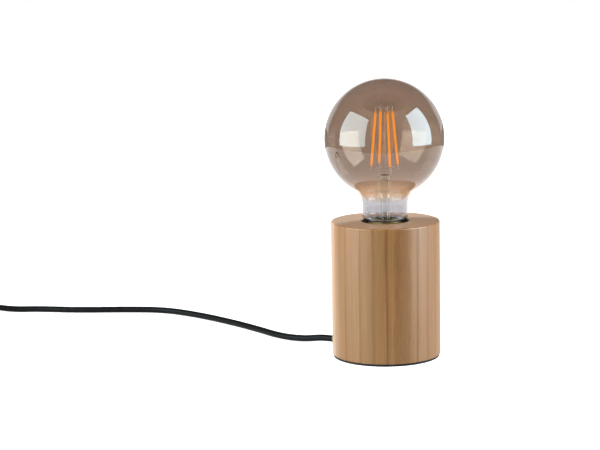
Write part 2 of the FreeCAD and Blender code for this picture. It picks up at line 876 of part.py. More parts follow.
def make_glass():
    # Globe, hollow throat, straight neck and rounded shoulder, all tangent to each other.
    reach = s.neck_radius + s.throat_round
    span = s.globe_radius + s.throat_round
    fall = root(span * span - reach * reach)
    w = s.glass_wall
    inner_globe = s.globe_radius - w
    shoulder_x = s.neck_radius - s.shoulder_round

    def on_globe(radius):
        return radius * reach / span, globe_centre - radius * fall / span

    outer_x, outer_z = on_globe(s.globe_radius)
    inner_x, inner_z = on_globe(inner_globe)
    keep("glass_envelope", turned("glass_envelope", [
        (0.0, globe_centre + inner_globe),
        (inner_x, inner_z, inner_globe, "right"),
        (s.neck_radius - w, globe_centre - fall, s.throat_round + w, "left"),
        (s.neck_radius - w, shoulder_height),
        (shoulder_x, seal_height + w, s.shoulder_round - w, "right"),
        (s.seal_radius - w, seal_height + w),
        (s.seal_radius - w, seal_height - s.seal_depth),
        (s.seal_radius, seal_height - s.seal_depth),
        (s.seal_radius, seal_height),
        (shoulder_x, seal_height),
        (s.neck_radius, shoulder_height, s.shoulder_round, "left"),
        (s.neck_radius, globe_centre - fall),
        (outer_x, outer_z, s.throat_round, "right"),
        (0.0, globe_centre + s.globe_radius, s.globe_radius, "left"),
    ]))


def make_stem():
    # A glass tube with a flared foot, pinched flat at its top around the lead-in wires.
    top = wood_top + s.stem_top
    tube_low = wood_top + s.flare_top
    foot = wood_top - s.flare_bottom
    foot_radius = s.seal_radius - s.glass_wall - 0.1
    thin = s.stem_radius - s.stem_wall
    wall = turned("stem_tube", [
        (0.0, top),
        (0.0, top - s.stem_wall),
        (thin, top - s.stem_wall),
        (thin, tube_low),
        (foot_radius - s.stem_wall, foot + s.stem_wall),
        (foot_radius - s.stem_wall, foot),
        (foot_radius, foot),
        (foot_radius, foot + s.stem_wall),
        (s.stem_radius, tube_low),
        (s.stem_radius, top),
    ])
    sections = []
    for number, (major, minor, height) in enumerate((
            (s.stem_radius - 0.05, s.stem_radius - 0.06, top),
            (s.press_half_width, s.press_half_depth, top + (s.press_top - s.stem_top) * 0.55),
            (s.press_half_width, s.press_half_depth, wood_top + s.press_top))):
        sections.append(shape_of("Ellipse", "press_section_%d" % number,
                                 {"MajorRadius": major, "MinorRadius": minor}, z=height))
    press = doc.addObject("Part::Loft", "stem_press")
    press.Sections = sections
    press.Solid = True
    press.Ruled = True
    keep("stem_glass", fused("stem_glass", wall, press))

    rod_low = wood_top + s.press_top
    shaft = rod("centre_rod_shaft", s.rod_radius, s.rod_top - s.press_top, z=rod_low)
    ball = shape_of("Sphere", "centre_rod_button", {"Radius": s.button_radius},
                    z=wood_top + s.rod_top)
    keep("centre_rod", fused("centre_rod", shaft, ball))


def ring_spot(number, radius, height):
    """A point of the ring of filaments."""
    angle = math.radians(float(s.filament_turn) + 90.0 * number)
    return (float(radius) * math.cos(angle), float(radius) * math.sin(angle),
            float(wood_top) + float(height))


def make_filaments():
    lean = (s.filament_ring_low - s.filament_ring_high) / (s.filament_top - s.filament_bottom)
    rise = s.filament_top - s.filament_bottom
    slant = root(rise * rise + (rise * lean) * (rise * lean))
    tilt = Size(math.degrees(math.atan(float(lean))), "(atan(%s) / 1 deg)" % formula(lean))
    tabs = []
    for number in range(4):
        angle = s.filament_turn + 90.0 * number
        name = "filament_%d" % (number + 1)
        x, y = s.filament_ring_low * cosine(angle), s.filament_ring_low * sine(angle)
        stick = rod(name, s.filament_radius, slant, x=x, y=y,
                    z=wood_top + s.filament_bottom, yaw=angle, pitch=-tilt)
        keep(name, stick)
        for label, way in (("low", -1.0), ("high", 1.0)):
            # A metal tab continues the stick at each end, along the same slant.
            start = -s.tab_length if way < 0 else slant
            out = s.filament_ring_low - start * sine(tilt)
            up = wood_top + s.filament_bottom + start * cosine(tilt)
            tabs.append(rod("tab_%d_%s" % (number + 1, label), s.tab_radius, s.tab_length,
                            x=out * cosine(angle), y=out * sine(angle), z=up,
                            yaw=angle, pitch=-tilt))
    keep("filament_tabs", group("filament_tabs", *tabs))

    wires = []
    hub = float(s.button_radius) + 0.05
    for number in range(4):
        reach = float(s.filament_ring_high) - float(s.tab_length + 0.6) * float(sine(tilt))
        top = float(s.filament_top) + float(s.tab_length) * float(cosine(tilt))
        wires.append(tube("support_wire_%d" % (number + 1), [
            ring_spot(number, hub, float(s.rod_top)),
            ring_spot(number, hub + 1.6, float(s.rod_top) + 1.2),
            ring_spot(number, reach, top + 2.6),
            ring_spot(number, reach + 0.15, top),
        ], s.wire_radius))
    keep("support_wires", group("support_wires", *wires))

    leads = []
    low_ring = float(s.filament_ring_low) + float(s.tab_length) * float(sine(tilt))
    low = float(s.filament_bottom) - float(s.tab_length) * float(cosine(tilt))
    press_x, press_z = float(s.press_half_width) * 0.6, float(wood_top + s.press_top)
    for number, (side, aside) in enumerate(((1, 1), (-1, 1), (-1, -1), (1, -1))):
        end = ring_spot(number, low_ring, low)
        leads.append(tube("lead_wire_%d" % (number + 1), [
            (press_x * side, 0.8 * aside, press_z),
            (press_x * side, 0.8 * aside, press_z + 2.0),
            (end[0] * 0.8, end[1] * 0.8, press_z + 0.4),
            (end[0], end[1], end[2] - 2.2),
            end,
        ], s.wire_radius))
    keep("lead_wires", group("lead_wires", *leads))

    board_top = seal_height - s.seal_depth - 3.0
    wire_top = wood_top + s.stem_top - s.stem_wall
    keep("lead_in_wires", group("lead_in_wires", *[
        rod("lead_in_%s" % label, s.wire_radius, wire_top - board_top, x=way * 1.9, z=board_top)
        for label, way in (("live", 1.0), ("neutral", -1.0))]))
    board = rod("board_disc", s.board_radius, 1.2, z=board_top - 1.2)
    capacitor = rod("board_capacitor", 2.6, 5.2, x=3.4, z=board_top - 6.4)
    chip = block("board_chip", 5.0, 6.0, 1.8, -4.2, 0.0, board_top - 3.0)
    keep("driver_board", fused("driver_board", board, capacitor, chip))


def make_cap():
    inner = s.cap_radius - s.cap_wall
    keep("screw_cap", turned("screw_cap", [
        (s.cap_end_radius, cone_bottom),
        (s.cap_radius, cap_bottom),
        (s.cap_radius, cap_rim),
        (inner, cap_rim),
        (inner, cap_bottom + s.cap_wall / 2),
        (s.cap_end_radius - s.cap_wall, cone_bottom + s.cap_wall / 2),
        (s.cap_end_radius - s.cap_wall, cone_bottom),
    ]))
    keep("cap_cement", tube_ring("cap_cement", inner, s.seal_radius, s.seal_depth - 1.5,
                                 z=seal_height - s.seal_depth + 0.5))
    hole = s.contact_pin + 0.05
    top_radius = s.cap_end_radius - s.cap_wall
    keep("cap_insulator", turned("cap_insulator", [
        (s.contact_radius + 0.4, insulator_bottom),
        (s.cap_end_radius, cone_bottom),
        (top_radius, cone_bottom),
        (top_radius, cone_bottom + 1.0),
        (hole, cone_bottom + 1.0),
        (hole, insulator_bottom),
    ]))
    face_round = s.contact_thickness * 0.6
    keep("cap_contact", turned("cap_contact", [
        (0.0, contact_bottom),
        (s.contact_radius - face_round, contact_bottom),
        (s.contact_radius, contact_bottom + face_round, face_round, "left"),
        (s.contact_radius, contact_top),
        (s.contact_pin, contact_top),
        (s.contact_pin, cone_bottom + 0.6),
        (0.0, cone_bottom + 0.6),
    ]))


# ---------------------------------------------------------------- in-line switch

# The route of the cord, with the points that its smooth line follows. It leaves the base low at
# the back, sinks to the floor, curves away to the back left and runs on to the switch.
CORD_REST = 2.7
SWITCH_FACE = -377.0
SWITCH_SIDE = 172.0
SWITCH_LEVEL = 6.5
ROUTE_TO_SWITCH = [
    radial(exit_tip, 0.0, s.exit_height),
    radial(exit_tip + 11.0, 0.0, s.exit_height),
    (-65.0, 41.3, 4.1),
    (-79.0, 51.2, 2.7),
    (-93.0, 63.0, 2.7),
    (-110.0, 85.5, 2.7),
    (-135.0, 114.1, 2.7),
    (-166.0, 144.0, 2.7),
    (-198.0, 166.5, 2.7),
    (-234.0, 169.8, 2.7),
    (-277.0, 169.0, 2.7),
    (-314.0, 175.6, 2.7),
    (-337.0, 174.0, 2.7),
    (-360.0, SWITCH_SIDE, SWITCH_LEVEL),
    (SWITCH_FACE - 6.0, SWITCH_SIDE, SWITCH_LEVEL),
]


switch_screw_x = s.switch_length / 2 - s.switch_corner * 0.9
switch_screw_y = s.switch_width / 2 - s.switch_corner * 0.55


def make_switch():
    level = SWITCH_LEVEL
    x = SWITCH_FACE - s.switch_length / 2
    y = SWITCH_SIDE
    plan = rounded_rectangle(s.switch_length, s.switch_width, s.switch_corner)
    hollow = rounded_rectangle(s.switch_length - s.switch_wall * 2,
                               s.switch_width - s.switch_wall * 2,
                               s.switch_corner - s.switch_wall)
    entry = s.cord_radius + 0.05
    mouth = s.switch_length + 2.0

    base = padded("switch_base", plan, level)
    pocketed(base, "base_hollow", "XY_Plane", lambda k: closed_outline(k, hollow), level,
             offset=s.switch_wall)
    pocketed(base, "base_cord_way", "YZ_Plane", lambda k: round_hole(k, 0.0, level, entry),
             mouth, midplane=True)
    pocketed(base, "base_screw_holes", "XY_Plane",
             lambda k: draw_switch_screws(k, s.switch_screw_radius), s.switch_wall)
    pocketed(base, "base_head_holes", "XY_Plane",
             lambda k: draw_switch_screws(k, s.switch_screw_head), s.switch_head_depth)
    stand(base, x=x, y=y)
    keep("switch_base", base)

    cover = padded("switch_cover", plan, s.switch_height - level, offset=level)
    rounded(cover, "cover_rounding", s.switch_edge,
            lambda box: box.ZMin > float(s.switch_height) - 0.01)
    pocketed(cover, "cover_hollow", "XY_Plane", lambda k: closed_outline(k, hollow),
             s.switch_height - s.switch_wall - level, offset=level)
    window_length = s.rocker_length + s.rocker_gap * 2
    window_width = s.rocker_width + s.rocker_side_gap * 2
    pocketed(cover, "rocker_window", "XY_Plane",
             lambda k: closed_outline(k, rectangle(window_length, window_width)),
             s.switch_height, offset=level)
    pocketed(cover, "cover_cord_way", "YZ_Plane", lambda k: round_hole(k, 0.0, level, entry),
             mouth, midplane=True)
    pivot = s.switch_height - s.rocker_pivot_drop
    lug_high = s.switch_height - s.switch_wall
    lug_size = (lug_high - pivot) * 2
    hole = s.rocker_pin + s.pin_gap
    lugs = []
    for label, side in (("near", -1.0), ("far", 1.0)):
        y_mid = (window_width / 2 + s.lug_thickness / 2) * side
        lugs.append(block("lug_" + label, lug_size * 1.4, s.lug_thickness, lug_size,
                          x, y + y_mid, lug_high - lug_size))
    reach = window_width / 2 + s.lug_thickness * 2
    bore = rod("lug_bore", hole, reach * 2, x=x, y=y + reach, z=pivot, yaw=-90.0, pitch=90.0)
    stand(cover, x=x, y=y)
    posts, pilots, screws = [], [], []
    for label, way in (("a", 1.0), ("b", -1.0)):
        place = {"x": x + switch_screw_x * way, "y": y + switch_screw_y * way}
        posts.append(rod("switch_post_" + label, s.switch_post_radius,
                         s.switch_height - s.switch_wall * 2, z=s.switch_wall, **place))
        pilots.append(rod("switch_pilot_" + label, s.switch_screw_radius + s.pilot_gap,
                          s.switch_screw_length, z=s.switch_wall, **place))
        head = rod("switch_head_" + label, s.switch_screw_head, s.switch_head_depth * 0.8,
                   z=s.switch_head_depth * 0.2, **place)
        shank = rod("switch_shank_" + label, s.switch_screw_radius, s.switch_screw_length,
                    z=s.switch_head_depth, **place)
        screws.append(fused("switch_screw_" + label, head, shank))
    keep("switch_cover", cut("switch_cover_bored", fused("switch_cover_lugs", cover, *lugs, *posts),
                             bore, *pilots))
    keep("switch_screws", group("switch_screws", *screws))

    # The rocker: a shallow valley of a top, round ends about its pin, tilted as it rests.
    half = s.rocker_length / 2
    rocker = padded("rocker_key", [
        (half - 1.2, -s.rocker_depth),
        (half, s.rocker_end_rise),
        (0.0, s.rocker_crown),
        (-half, s.rocker_end_rise),
        (-half + 1.2, -s.rocker_depth),
    ], s.rocker_width, role="XZ_Plane", midplane=True)
    stand(rocker, x=x, y=y, z=pivot, pitch=-s.rocker_tilt)
    pin_length = s.rocker_width + s.rocker_side_gap * 2 + s.lug_thickness * 2
    pin = rod("rocker_pin_rod", s.rocker_pin, pin_length, x=x, y=y + pin_length / 2, z=pivot,
              yaw=-90.0, pitch=90.0)
    keep("switch_rocker", fused("switch_rocker", rocker, pin))

    for name, way_out in (("switch_contact_in", 1.0), ("switch_contact_out", -1.0)):
        post = block(name + "_post", 5.0, 6.0, 4.4, x + 16.0 * way_out, y, s.switch_wall)
        leaf = block(name + "_leaf", 10.0, 4.0, 0.6, x + 9.0 * way_out, y, s.switch_wall + 3.8)
        keep(name, fused(name, post, leaf))


def draw_switch_screws(sketch, radius):
    for way in (1.0, -1.0):
        round_hole(sketch, switch_screw_x * way, switch_screw_y * way, radius + s.pilot_gap)


# ---------------------------------------------------------------- coil of spare cord

COIL_CENTRE = (-487.4, 131.0)


def coil_spot(turn):
    """Where the coil's middle line is after so many turns: in on the floor, out on top."""
    pitch, turns = float(s.coil_pitch), float(s.coil_turns)
    outer = float(s.coil_radius) + pitch * turns / 2
    inner = outer - pitch * turns
    into_climb = turn - turns
    if into_climb <= 0:
        radius, climb = outer - pitch * turn, 0.0
    elif into_climb < 0.5:
        radius = inner - pitch * (into_climb - 2 * into_climb * into_climb)
        climb = (1 - math.cos(2 * math.pi * into_climb)) / 2
    else:
        radius, climb = inner + pitch * (into_climb - 0.5), 1.0
    angle = math.radians(90) + 2 * math.pi * turn
    return Vector(COIL_CENTRE[0] + radius * math.cos(angle),
                  COIL_CENTRE[1] + radius * math.sin(angle),
                  CORD_REST + pitch * climb)


def coil_way(turn, last):
    """The direction of the coil's line there; square across the radius at both ends."""
    if turn in (0.0, last):
        angle = math.radians(180) + 2 * math.pi * turn
        return Vector(math.cos(angle), math.sin(angle), 0)
    step = 1e-4
    return (coil_spot(turn + step) - coil_spot(turn - step)).normalize()


def biarc(start, start_way, end, end_way):
    """Two tangent arcs from start to end that keep both directions."""
    gap = end - start
    ways = start_way + end_way
    bend = 2 * (1 - start_way.dot(end_way))
    along = gap.dot(ways)
    reach = (-along + math.sqrt(along * along + bend * gap.dot(gap))) / bend
    first = start + start_way * reach
    second = end - end_way * reach
    middle = (first + second) * 0.5
    return [arc_about(start, first, middle)[0], arc_about(middle, second, end)[0]]


def make_coil():
    last = 2 * float(s.coil_turns) + 0.5
    quarters = int(round(last * 4))
    turns = [last * k / quarters for k in range(quarters + 1)]
    lead = 2 * float(s.cord_radius)
    start, end = coil_spot(0.0), coil_spot(last)
    start_way, end_way = coil_way(0.0, last), coil_way(last, last)
    edges = [Part.LineSegment(start - start_way * lead, start).toShape()]
    for before, after in zip(turns, turns[1:]):
        edges += biarc(coil_spot(before), coil_way(before, last),
                       coil_spot(after), coil_way(after, last))
    edges.append(Part.LineSegment(end, end + end_way * lead).toShape())
    solid, length = swept(edges, float(s.cord_radius))
    wanted = math.pi * float(s.cord_radius) ** 2 * length
    if abs(solid.Volume - wanted) > 0.002 * wanted:
        raise ValueError("coil: volume %.0f, section times length %.0f" % (solid.Volume, wanted))
    steps = 60
    line = [coil_spot(last * k / (quarters * steps)) for k in range(quarters * steps + 1)]
    apart = min((line[i] - line[j]).Length
                for i in range(0, len(line), 6)
                for j in range(i + 2 * steps, len(line), 3))
    print("cord_coil: length %.1f, least gap %.2f" % (length, apart - 2 * float(s.cord_radius)))
    piece = doc.addObject("Part::Feature", "cord_coil")
    piece.Shape = solid
    keep("cord_coil", piece)
    return start - start_way * lead, end + end_way * lead


# ---------------------------------------------------------------- plug

def ribbed_relief():
    """Outline of the plug's tapered strain relief: a plain nose, then ribs with gaps between."""
    count = 6
    rib = s.plug_relief / (count * 2 + 1)
    spread = s.plug_relief_radius - s.plug_relief_tip
    outline = [(0.0, 0.0)]
    for number in range(count + 1):
        low, high = rib * (2.0 * number), rib * (2.0 * number + 1.0)
        outline.append((s.plug_relief_tip + spread * low / s.plug_relief, low))
        outline.append((s.plug_relief_tip + spread * high / s.plug_relief, high))
        if number < count:
            core = s.plug_relief_tip - s.plug_rib_depth + spread * high / s.plug_relief
            outline.append((core, high))
            outline.append((core, high + rib))
    outline.append((0.0, s.plug_relief))
    return outline


def make_plug(tail_end, level):
    """A flat two-pin plug that points along +X from the end of its strain relief."""
    x0, y0 = tail_end
    body_start = x0 + s.plug_relief
    face = body_start + s.plug_length
    straight = s.plug_length - s.plug_straight
    half, tail = s.plug_width / 2, s.plug_tail_width / 2
    round_big, round_small = 3.0, 2.0
    body = padded("plug_shell", [
        (s.plug_length, -half + round_small, round_small, "left"),
        (s.plug_length, half - round_small),
        (s.plug_length - round_small, half, round_small, "left"),
        (straight, half),
        (0.0 + round_big, tail),
        (0.0, tail - round_big, round_big * 1.25, "left"),
        (0.0, -tail + round_big),
        (0.0 + round_big, -tail, round_big * 1.25, "left"),
        (straight, -half),
        (s.plug_length - round_small, -half),
    ], s.plug_thickness)
    high = float(s.plug_thickness) - 0.01
    rounded(body, "plug_rounding", s.plug_edge,
            lambda box: box.ZMin > high or box.ZMax < 0.01)
    stand(body, x=body_start, y=y0)
    relief = turned("plug_relief_ribs", ribbed_relief())
    stand(relief, x=x0, y=y0, z=level, pitch=90.0)
    sleeves, bores = [], []
    inside = 6.0
    for name, side in (("plug_pin_left", 1.0), ("plug_pin_right", -1.0)):
        y = y0 + s.pin_spacing / 2 * side
        sleeves.append(rod(name + "_sleeve", s.pin_sleeve_radius, s.pin_sleeve_length,
                           x=face, y=y, z=level, pitch=90.0))
        bores.append(rod(name + "_bore", s.pin_core_radius + s.pilot_gap,
                         s.pin_sleeve_length + inside, x=face - inside, y=y, z=level, pitch=90.0))
        nose = 0.8
        tip = s.pin_length - nose
        pin = turned(name, [
            (0.0, -inside + 0.1),
            (s.pin_core_radius, -inside + 0.1),
            (s.pin_core_radius, s.pin_sleeve_length),
            (s.pin_radius, s.pin_sleeve_length),
            (s.pin_radius, tip),
            (s.pin_radius - nose, s.pin_length, nose, "left"),
            (0.0, s.pin_length),
        ])
        stand(pin, x=face, y=y, z=level, pitch=90.0)
        keep(name, pin)
    keep("plug_body", cut("plug_body", fused("plug_moulding", body, relief, *sleeves), *bores))


# ---------------------------------------------------------------- assembly

make_base()
make_cord_entry()
make_wiring()
make_holder_shells()
make_holder_contacts()
make_nipple()
make_glass()
make_stem()
make_filaments()
make_cap()
make_switch()
coil_in, coil_out = make_coil()
keep("cord_to_switch", tube("cord_to_switch", ROUTE_TO_SWITCH, s.cord_radius, limit=5))
switch_out = SWITCH_FACE - float(s.switch_length)
keep("cord_from_switch", tube("cord_from_switch", [
    (switch_out + 6.0, SWITCH_SIDE, SWITCH_LEVEL),
    (switch_out - 10.0, SWITCH_SIDE, SWITCH_LEVEL),
    (coil_in.x + 16.0, coil_in.y, CORD_REST),
    (coil_in.x, coil_in.y, CORD_REST),
], s.cord_radius, limit=5))
plug_level = s.plug_thickness / 2
PLUG_LEAD = 34.0
plug_tail = (coil_out.x + PLUG_LEAD, coil_out.y)
keep("cord_to_plug", tube("cord_to_plug", [
    (coil_out.x, coil_out.y, coil_out.z),
    (coil_out.x + 10.0, coil_out.y, coil_out.z),
    (plug_tail[0] - 10.0, plug_tail[1], float(plug_level)),
    (plug_tail[0], plug_tail[1], float(plug_level)),
], s.cord_radius, limit=5))
make_plug(plug_tail, plug_level)

doc.recompute()
broken = [thing.Name for thing in doc.Objects
          if "Invalid" in thing.State or "Error" in thing.State]
if broken:
    raise ValueError("not built: " + ", ".join(broken))
for name, piece in PIECES.items():
    if piece.Shape.isNull() or not piece.Shape.isValid() or not piece.Shape.Solids:
        raise ValueError(name + " is not a valid solid")

os.makedirs("parts", exist_ok=True)
for name, piece in PIECES.items():
    piece.Shape.exportStep("parts/%s.step" % name)
print("%d pieces written" % len(PIECES))
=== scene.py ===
import math

import bmesh
import bpy
import numpy as np
from bpy.props import FloatProperty, FloatVectorProperty, PointerProperty
from mathutils import Matrix, Vector


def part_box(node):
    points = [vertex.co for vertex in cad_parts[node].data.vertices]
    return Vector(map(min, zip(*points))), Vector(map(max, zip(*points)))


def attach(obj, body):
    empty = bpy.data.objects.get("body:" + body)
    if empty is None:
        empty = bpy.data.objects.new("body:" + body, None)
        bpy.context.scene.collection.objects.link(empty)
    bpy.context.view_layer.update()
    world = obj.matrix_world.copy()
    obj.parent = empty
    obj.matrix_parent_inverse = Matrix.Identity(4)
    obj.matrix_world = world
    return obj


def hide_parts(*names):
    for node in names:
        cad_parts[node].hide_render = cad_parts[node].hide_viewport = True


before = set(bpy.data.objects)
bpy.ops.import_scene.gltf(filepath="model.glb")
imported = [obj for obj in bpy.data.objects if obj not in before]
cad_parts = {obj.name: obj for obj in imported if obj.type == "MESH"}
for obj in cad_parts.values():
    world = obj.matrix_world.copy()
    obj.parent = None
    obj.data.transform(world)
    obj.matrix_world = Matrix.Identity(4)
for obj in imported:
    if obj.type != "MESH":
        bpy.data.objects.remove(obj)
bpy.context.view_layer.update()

bl_info = {"name": "Bare Bulb Table Lamp", "version": (1, 0, 0), "blender": (4, 5, 0),
    "location": "3D View > Sidebar > Table Lamp",
    "description": "Finishes a bare bulb table lamp: wood, glass, glow, cord, switch and plug",
    "category": "Object"}

MM = 0.001
WOOD_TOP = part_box("wood_body")[1].z
GLASS_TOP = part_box("glass_envelope")[1].z
GLOBE_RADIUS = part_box("glass_envelope")[1].y
CAP_LOW, CAP_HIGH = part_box("screw_cap")
SHELL_LOW, SHELL_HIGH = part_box("screw_shell")
CAP_RIM = CAP_HIGH.z + 0.9 * MM
CORD_DIAMETER, TO_SWITCH_LENGTH, TO_PLUG_LENGTH = 5.4 * MM, 0.3951, 1.3746
CAMERA_PLACE, CAMERA_TURNS, LENS = (0.0, -1.5086, 0.3602), (2.585, 9.533, -1.028), 114.85
WHITE, DIM_ROOM = (1.0, 1.0, 1.0), (0.10, 0.095, 0.09)


# ------------------------------------------------------------------ settings

def colour(name, text, value):
    return FloatVectorProperty(name=name, description=text, default=value, size=3,
                               subtype="COLOR", min=0.0, max=1.0)


def length(name, text, value):
    return FloatProperty(name=name, description=text, default=value, unit="LENGTH",
                         subtype="DISTANCE", precision=5)


def number(name, text, value, **limits):
    return FloatProperty(name=name, description=text, default=value, min=0.0, **limits)


def radiance(name, text, value):
    return FloatVectorProperty(name=name, description=text, default=value, size=3)


def group(kind, name, text):
    return PointerProperty(type=kind, name=name, description=text)


class WoodSettings(bpy.types.PropertyGroup):
    early: colour("Early Wood", "Pale wood between the dark rings", (0.325, 0.168, 0.052))
    late: colour("Late Wood", "Dark wood of the rings", (0.195, 0.084, 0.015))
    sap: colour("Sapwood", "Pale outer wood", (0.70, 0.47, 0.295))
    pith_x: length("Pith X", "Side place of the tree's centre", 22 * MM)
    pith_y: length("Pith Y", "Depth place of the tree's centre", -70 * MM)
    figure: number("Figure", "Strength of the curly figure", 0.5, max=1.0, subtype="FACTOR")


class GlassSettings(bpy.types.PropertyGroup):
    smoke: colour("Smoke", "Tint of the globe, through one wall", (0.511, 0.410, 0.343))
    amber: colour("Amber", "Tint where the film thins out", (0.84, 0.68, 0.55))
    clear: colour("Clear", "Tint of the neck", (0.725, 0.71, 0.73))
    wall: length("Wall", "Thickness of the glass", 0.9 * MM)
    neck: length("Neck Radius", "Radius of the straight neck", 18.4 * MM)
    throat: length("Throat Round", "Hollow round between neck and globe", 13.2 * MM)
    shoulder: length("Shoulder Round", "Round under the neck", 3.6 * MM)
    seal: length("Seal Radius", "Radius of the end inside the cap", 11.9 * MM)
    tint_end: length("Tint End", "Height where the smoke tint fades out", 0.1285)
    sink: length("Sink", "How far the globe sits below its drawn height", 1.1 * MM)


class GlowSettings(bpy.types.PropertyGroup):
    amber: colour("Amber", "Colour of the glowing sticks", (1.0, 0.375, 0.014))
    strength: number("Strength", "Brightness of the sticks", 1.68, soft_max=20.0)


class ThreadSettings(bpy.types.PropertyGroup):
    pitch: length("Pitch", "Rise of the screw in one turn", 3.629 * MM)
    depth: length("Depth", "Depth of the rolled thread", 1.05 * MM)


class FinishSettings(bpy.types.PropertyGroup):
    brass: colour("Brass", "Cap, shell and contacts", (0.70, 0.50, 0.17))
    nickel: colour("Nickel", "Wires and pins", (0.66, 0.63, 0.57))
    zinc: colour("Zinc", "Plated steel fittings", (0.55, 0.56, 0.57))
    black: colour("Black", "Moulded black plastic", (0.014, 0.014, 0.015))
    sheath: colour("Sheath", "Black sheath of the cord", (0.004, 0.004, 0.0045))


class StudioSettings(bpy.types.PropertyGroup):
    left: number("Left Light", "Light that the left softbox gives", 4.2)
    right: number("Right Light", "Light that the right softbox gives", 5.2)
    left_face: radiance("Left Face", "Left softbox in a reflection", (5.4, 6.9, 7.4))
    right_face: radiance("Right Face", "Right softbox in a reflection", (6.8, 9.3, 10.8))
    ambient: number("Ambient", "Even light from all around", 0.08)
    white: number("Floor White", "White added to the seen floor", 0.74)


class LampSettings(bpy.types.PropertyGroup):
    wood: group(WoodSettings, "Wood", "Turned base")
    glass: group(GlassSettings, "Glass", "Bulb's glass")
    glow: group(GlowSettings, "Glow", "Lit filaments")
    thread: group(ThreadSettings, "Thread", "Screw thread")
    finish: group(FinishSettings, "Finish", "Small parts")
    studio: group(StudioSettings, "Studio", "Light")


def settings():
    return bpy.context.scene.table_lamp


# ------------------------------------------------------------------ node helpers

class Tree:
    """Adds nodes to a tree. An input given as a socket is linked, any other is set."""

    def __init__(self, tree):
        self.tree = tree

    def add(self, kind, inputs=None, **fields):
        node = self.tree.nodes.new(kind)
        for name, value in fields.items():
            setattr(node, name, value)
        for key, value in (inputs or {}).items():
            self.put(node.inputs[key], value)
        return node

    def put(self, socket, value):
        if isinstance(value, bpy.types.NodeSocket):
            self.tree.links.new(value, socket)
        elif socket.type == "RGBA" and len(value) == 3:
            socket.default_value = (*value, 1.0)
        else:
            socket.default_value = value

    def math(self, operation, *values):
        return self.add("ShaderNodeMath", dict(enumerate(values)), operation=operation).outputs[0]

    def times(self, a, b):
        return self.math("MULTIPLY", a, b)

    def plus(self, a, b):
        return self.math("ADD", a, b)

    def less(self, a, b):
        return self.math("SUBTRACT", a, b)

    def over(self, a, b):
        return self.math("DIVIDE", a, b)

    def times_plus(self, a, b, c):
        return self.math("MULTIPLY_ADD", a, b, c)

    def vector(self, operation, *values):
        node = self.add("ShaderNodeVectorMath", dict(enumerate(values)), operation=operation)
        return node.outputs["Value" if operation == "LENGTH" else "Vector"]

    def scaled(self, vector, scale):
        node = self.add("ShaderNodeVectorMath", {0: vector, "Scale": scale}, operation="SCALE")
        return node.outputs[0]

    def stretched(self, a, b):
        return self.vector("MULTIPLY", a, b)

    def split(self, vector):
        return self.add("ShaderNodeSeparateXYZ", {0: vector}).outputs

    def join(self, x, y, z):
        return self.add("ShaderNodeCombineXYZ", {0: x, 1: y, 2: z}).outputs[0]

    def spread(self, value, low, high, out_low=0.0, out_high=1.0):
        """Maps low..high softly to out_low..out_high and holds it there."""
        return self.add("ShaderNodeMapRange", {0: value, 1: low, 2: high, 3: out_low, 4: out_high},
                        interpolation_type="SMOOTHSTEP").outputs[0]

    def blend(self, factor, a, b):
        return self.add("ShaderNodeMix", {0: factor, 6: a, 7: b}, data_type="RGBA").outputs[2]

    def noise(self, vector, scale, detail=2.0, rough=0.5, twist=0.0, out=0):
        return self.add("ShaderNodeTexNoise", {
            "Vector": vector, "Scale": scale, "Detail": detail, "Roughness": rough,
            "Distortion": twist}).outputs[out]

    def cells(self, vector, scale, feature="F1", out="Distance"):
        return self.add("ShaderNodeTexVoronoi", {"Vector": vector, "Scale": scale},
                        feature=feature).outputs[out]

    def ramp(self, factor, stops):
        """Grey levels at (place, level) stops, eased between them."""
        node = self.add("ShaderNodeValToRGB", {0: factor})
        band = node.color_ramp
        band.interpolation = "EASE"
        while len(band.elements) < len(stops):
            band.elements.new(0.5)
        for element, (place, level) in zip(band.elements, stops):
            element.position = place
            element.color = (level, level, level, 1.0)
        return node.outputs[0]

    def use(self, group, inputs=None):
        node = self.add(self.tree.bl_idname.replace("NodeTree", "NodeGroup"), None, node_tree=group)
        for key, value in (inputs or {}).items():
            self.put(node.inputs[key], value)
        return node.outputs

    def spot(self, turn=(0.0, 0.0, 0.0), scale=1000.0):
        """Object coordinates in millimetres, turned."""
        place = self.add("ShaderNodeTexCoord").outputs["Object"]
        return self.add("ShaderNodeMapping", {
            "Vector": place, "Rotation": tuple(map(math.radians, turn)),
            "Scale": (scale,) * 3}).outputs[0]

    def bump(self, height, depth):
        """A normal from a height whose full swing is depth millimetres."""
        return self.add("ShaderNodeBump", {"Height": height, "Distance": depth * MM,
                                           "Strength": 1.0}).outputs[0]

    def shape(self, kind, inputs=None, **fields):
        """The first output of a new geometry node."""
        return self.add("GeometryNode" + kind, inputs, **fields).outputs[0]

    def mix(self, factor, first, second):
        """A mix of two shaders."""
        return self.add("ShaderNodeMixShader", {0: factor, 1: first, 2: second}).outputs[0]

    def glow(self, shade, strength=1.0):
        return self.add("ShaderNodeEmission", {"Color": shade, "Strength": strength}).outputs[0]

    def clear(self, shade):
        return self.add("ShaderNodeBsdfTransparent", {0: shade}).outputs[0]

    def path(self, kind):
        return self.add("ShaderNodeLightPath").outputs[kind]


GEOMETRY, FINISH, NUMBER = "NodeSocketGeometry", "NodeSocketMaterial", "NodeSocketFloat"
COLOUR = "NodeSocketColor"
SOCKETS = {float: NUMBER, int: "NodeSocketInt", tuple: COLOUR}


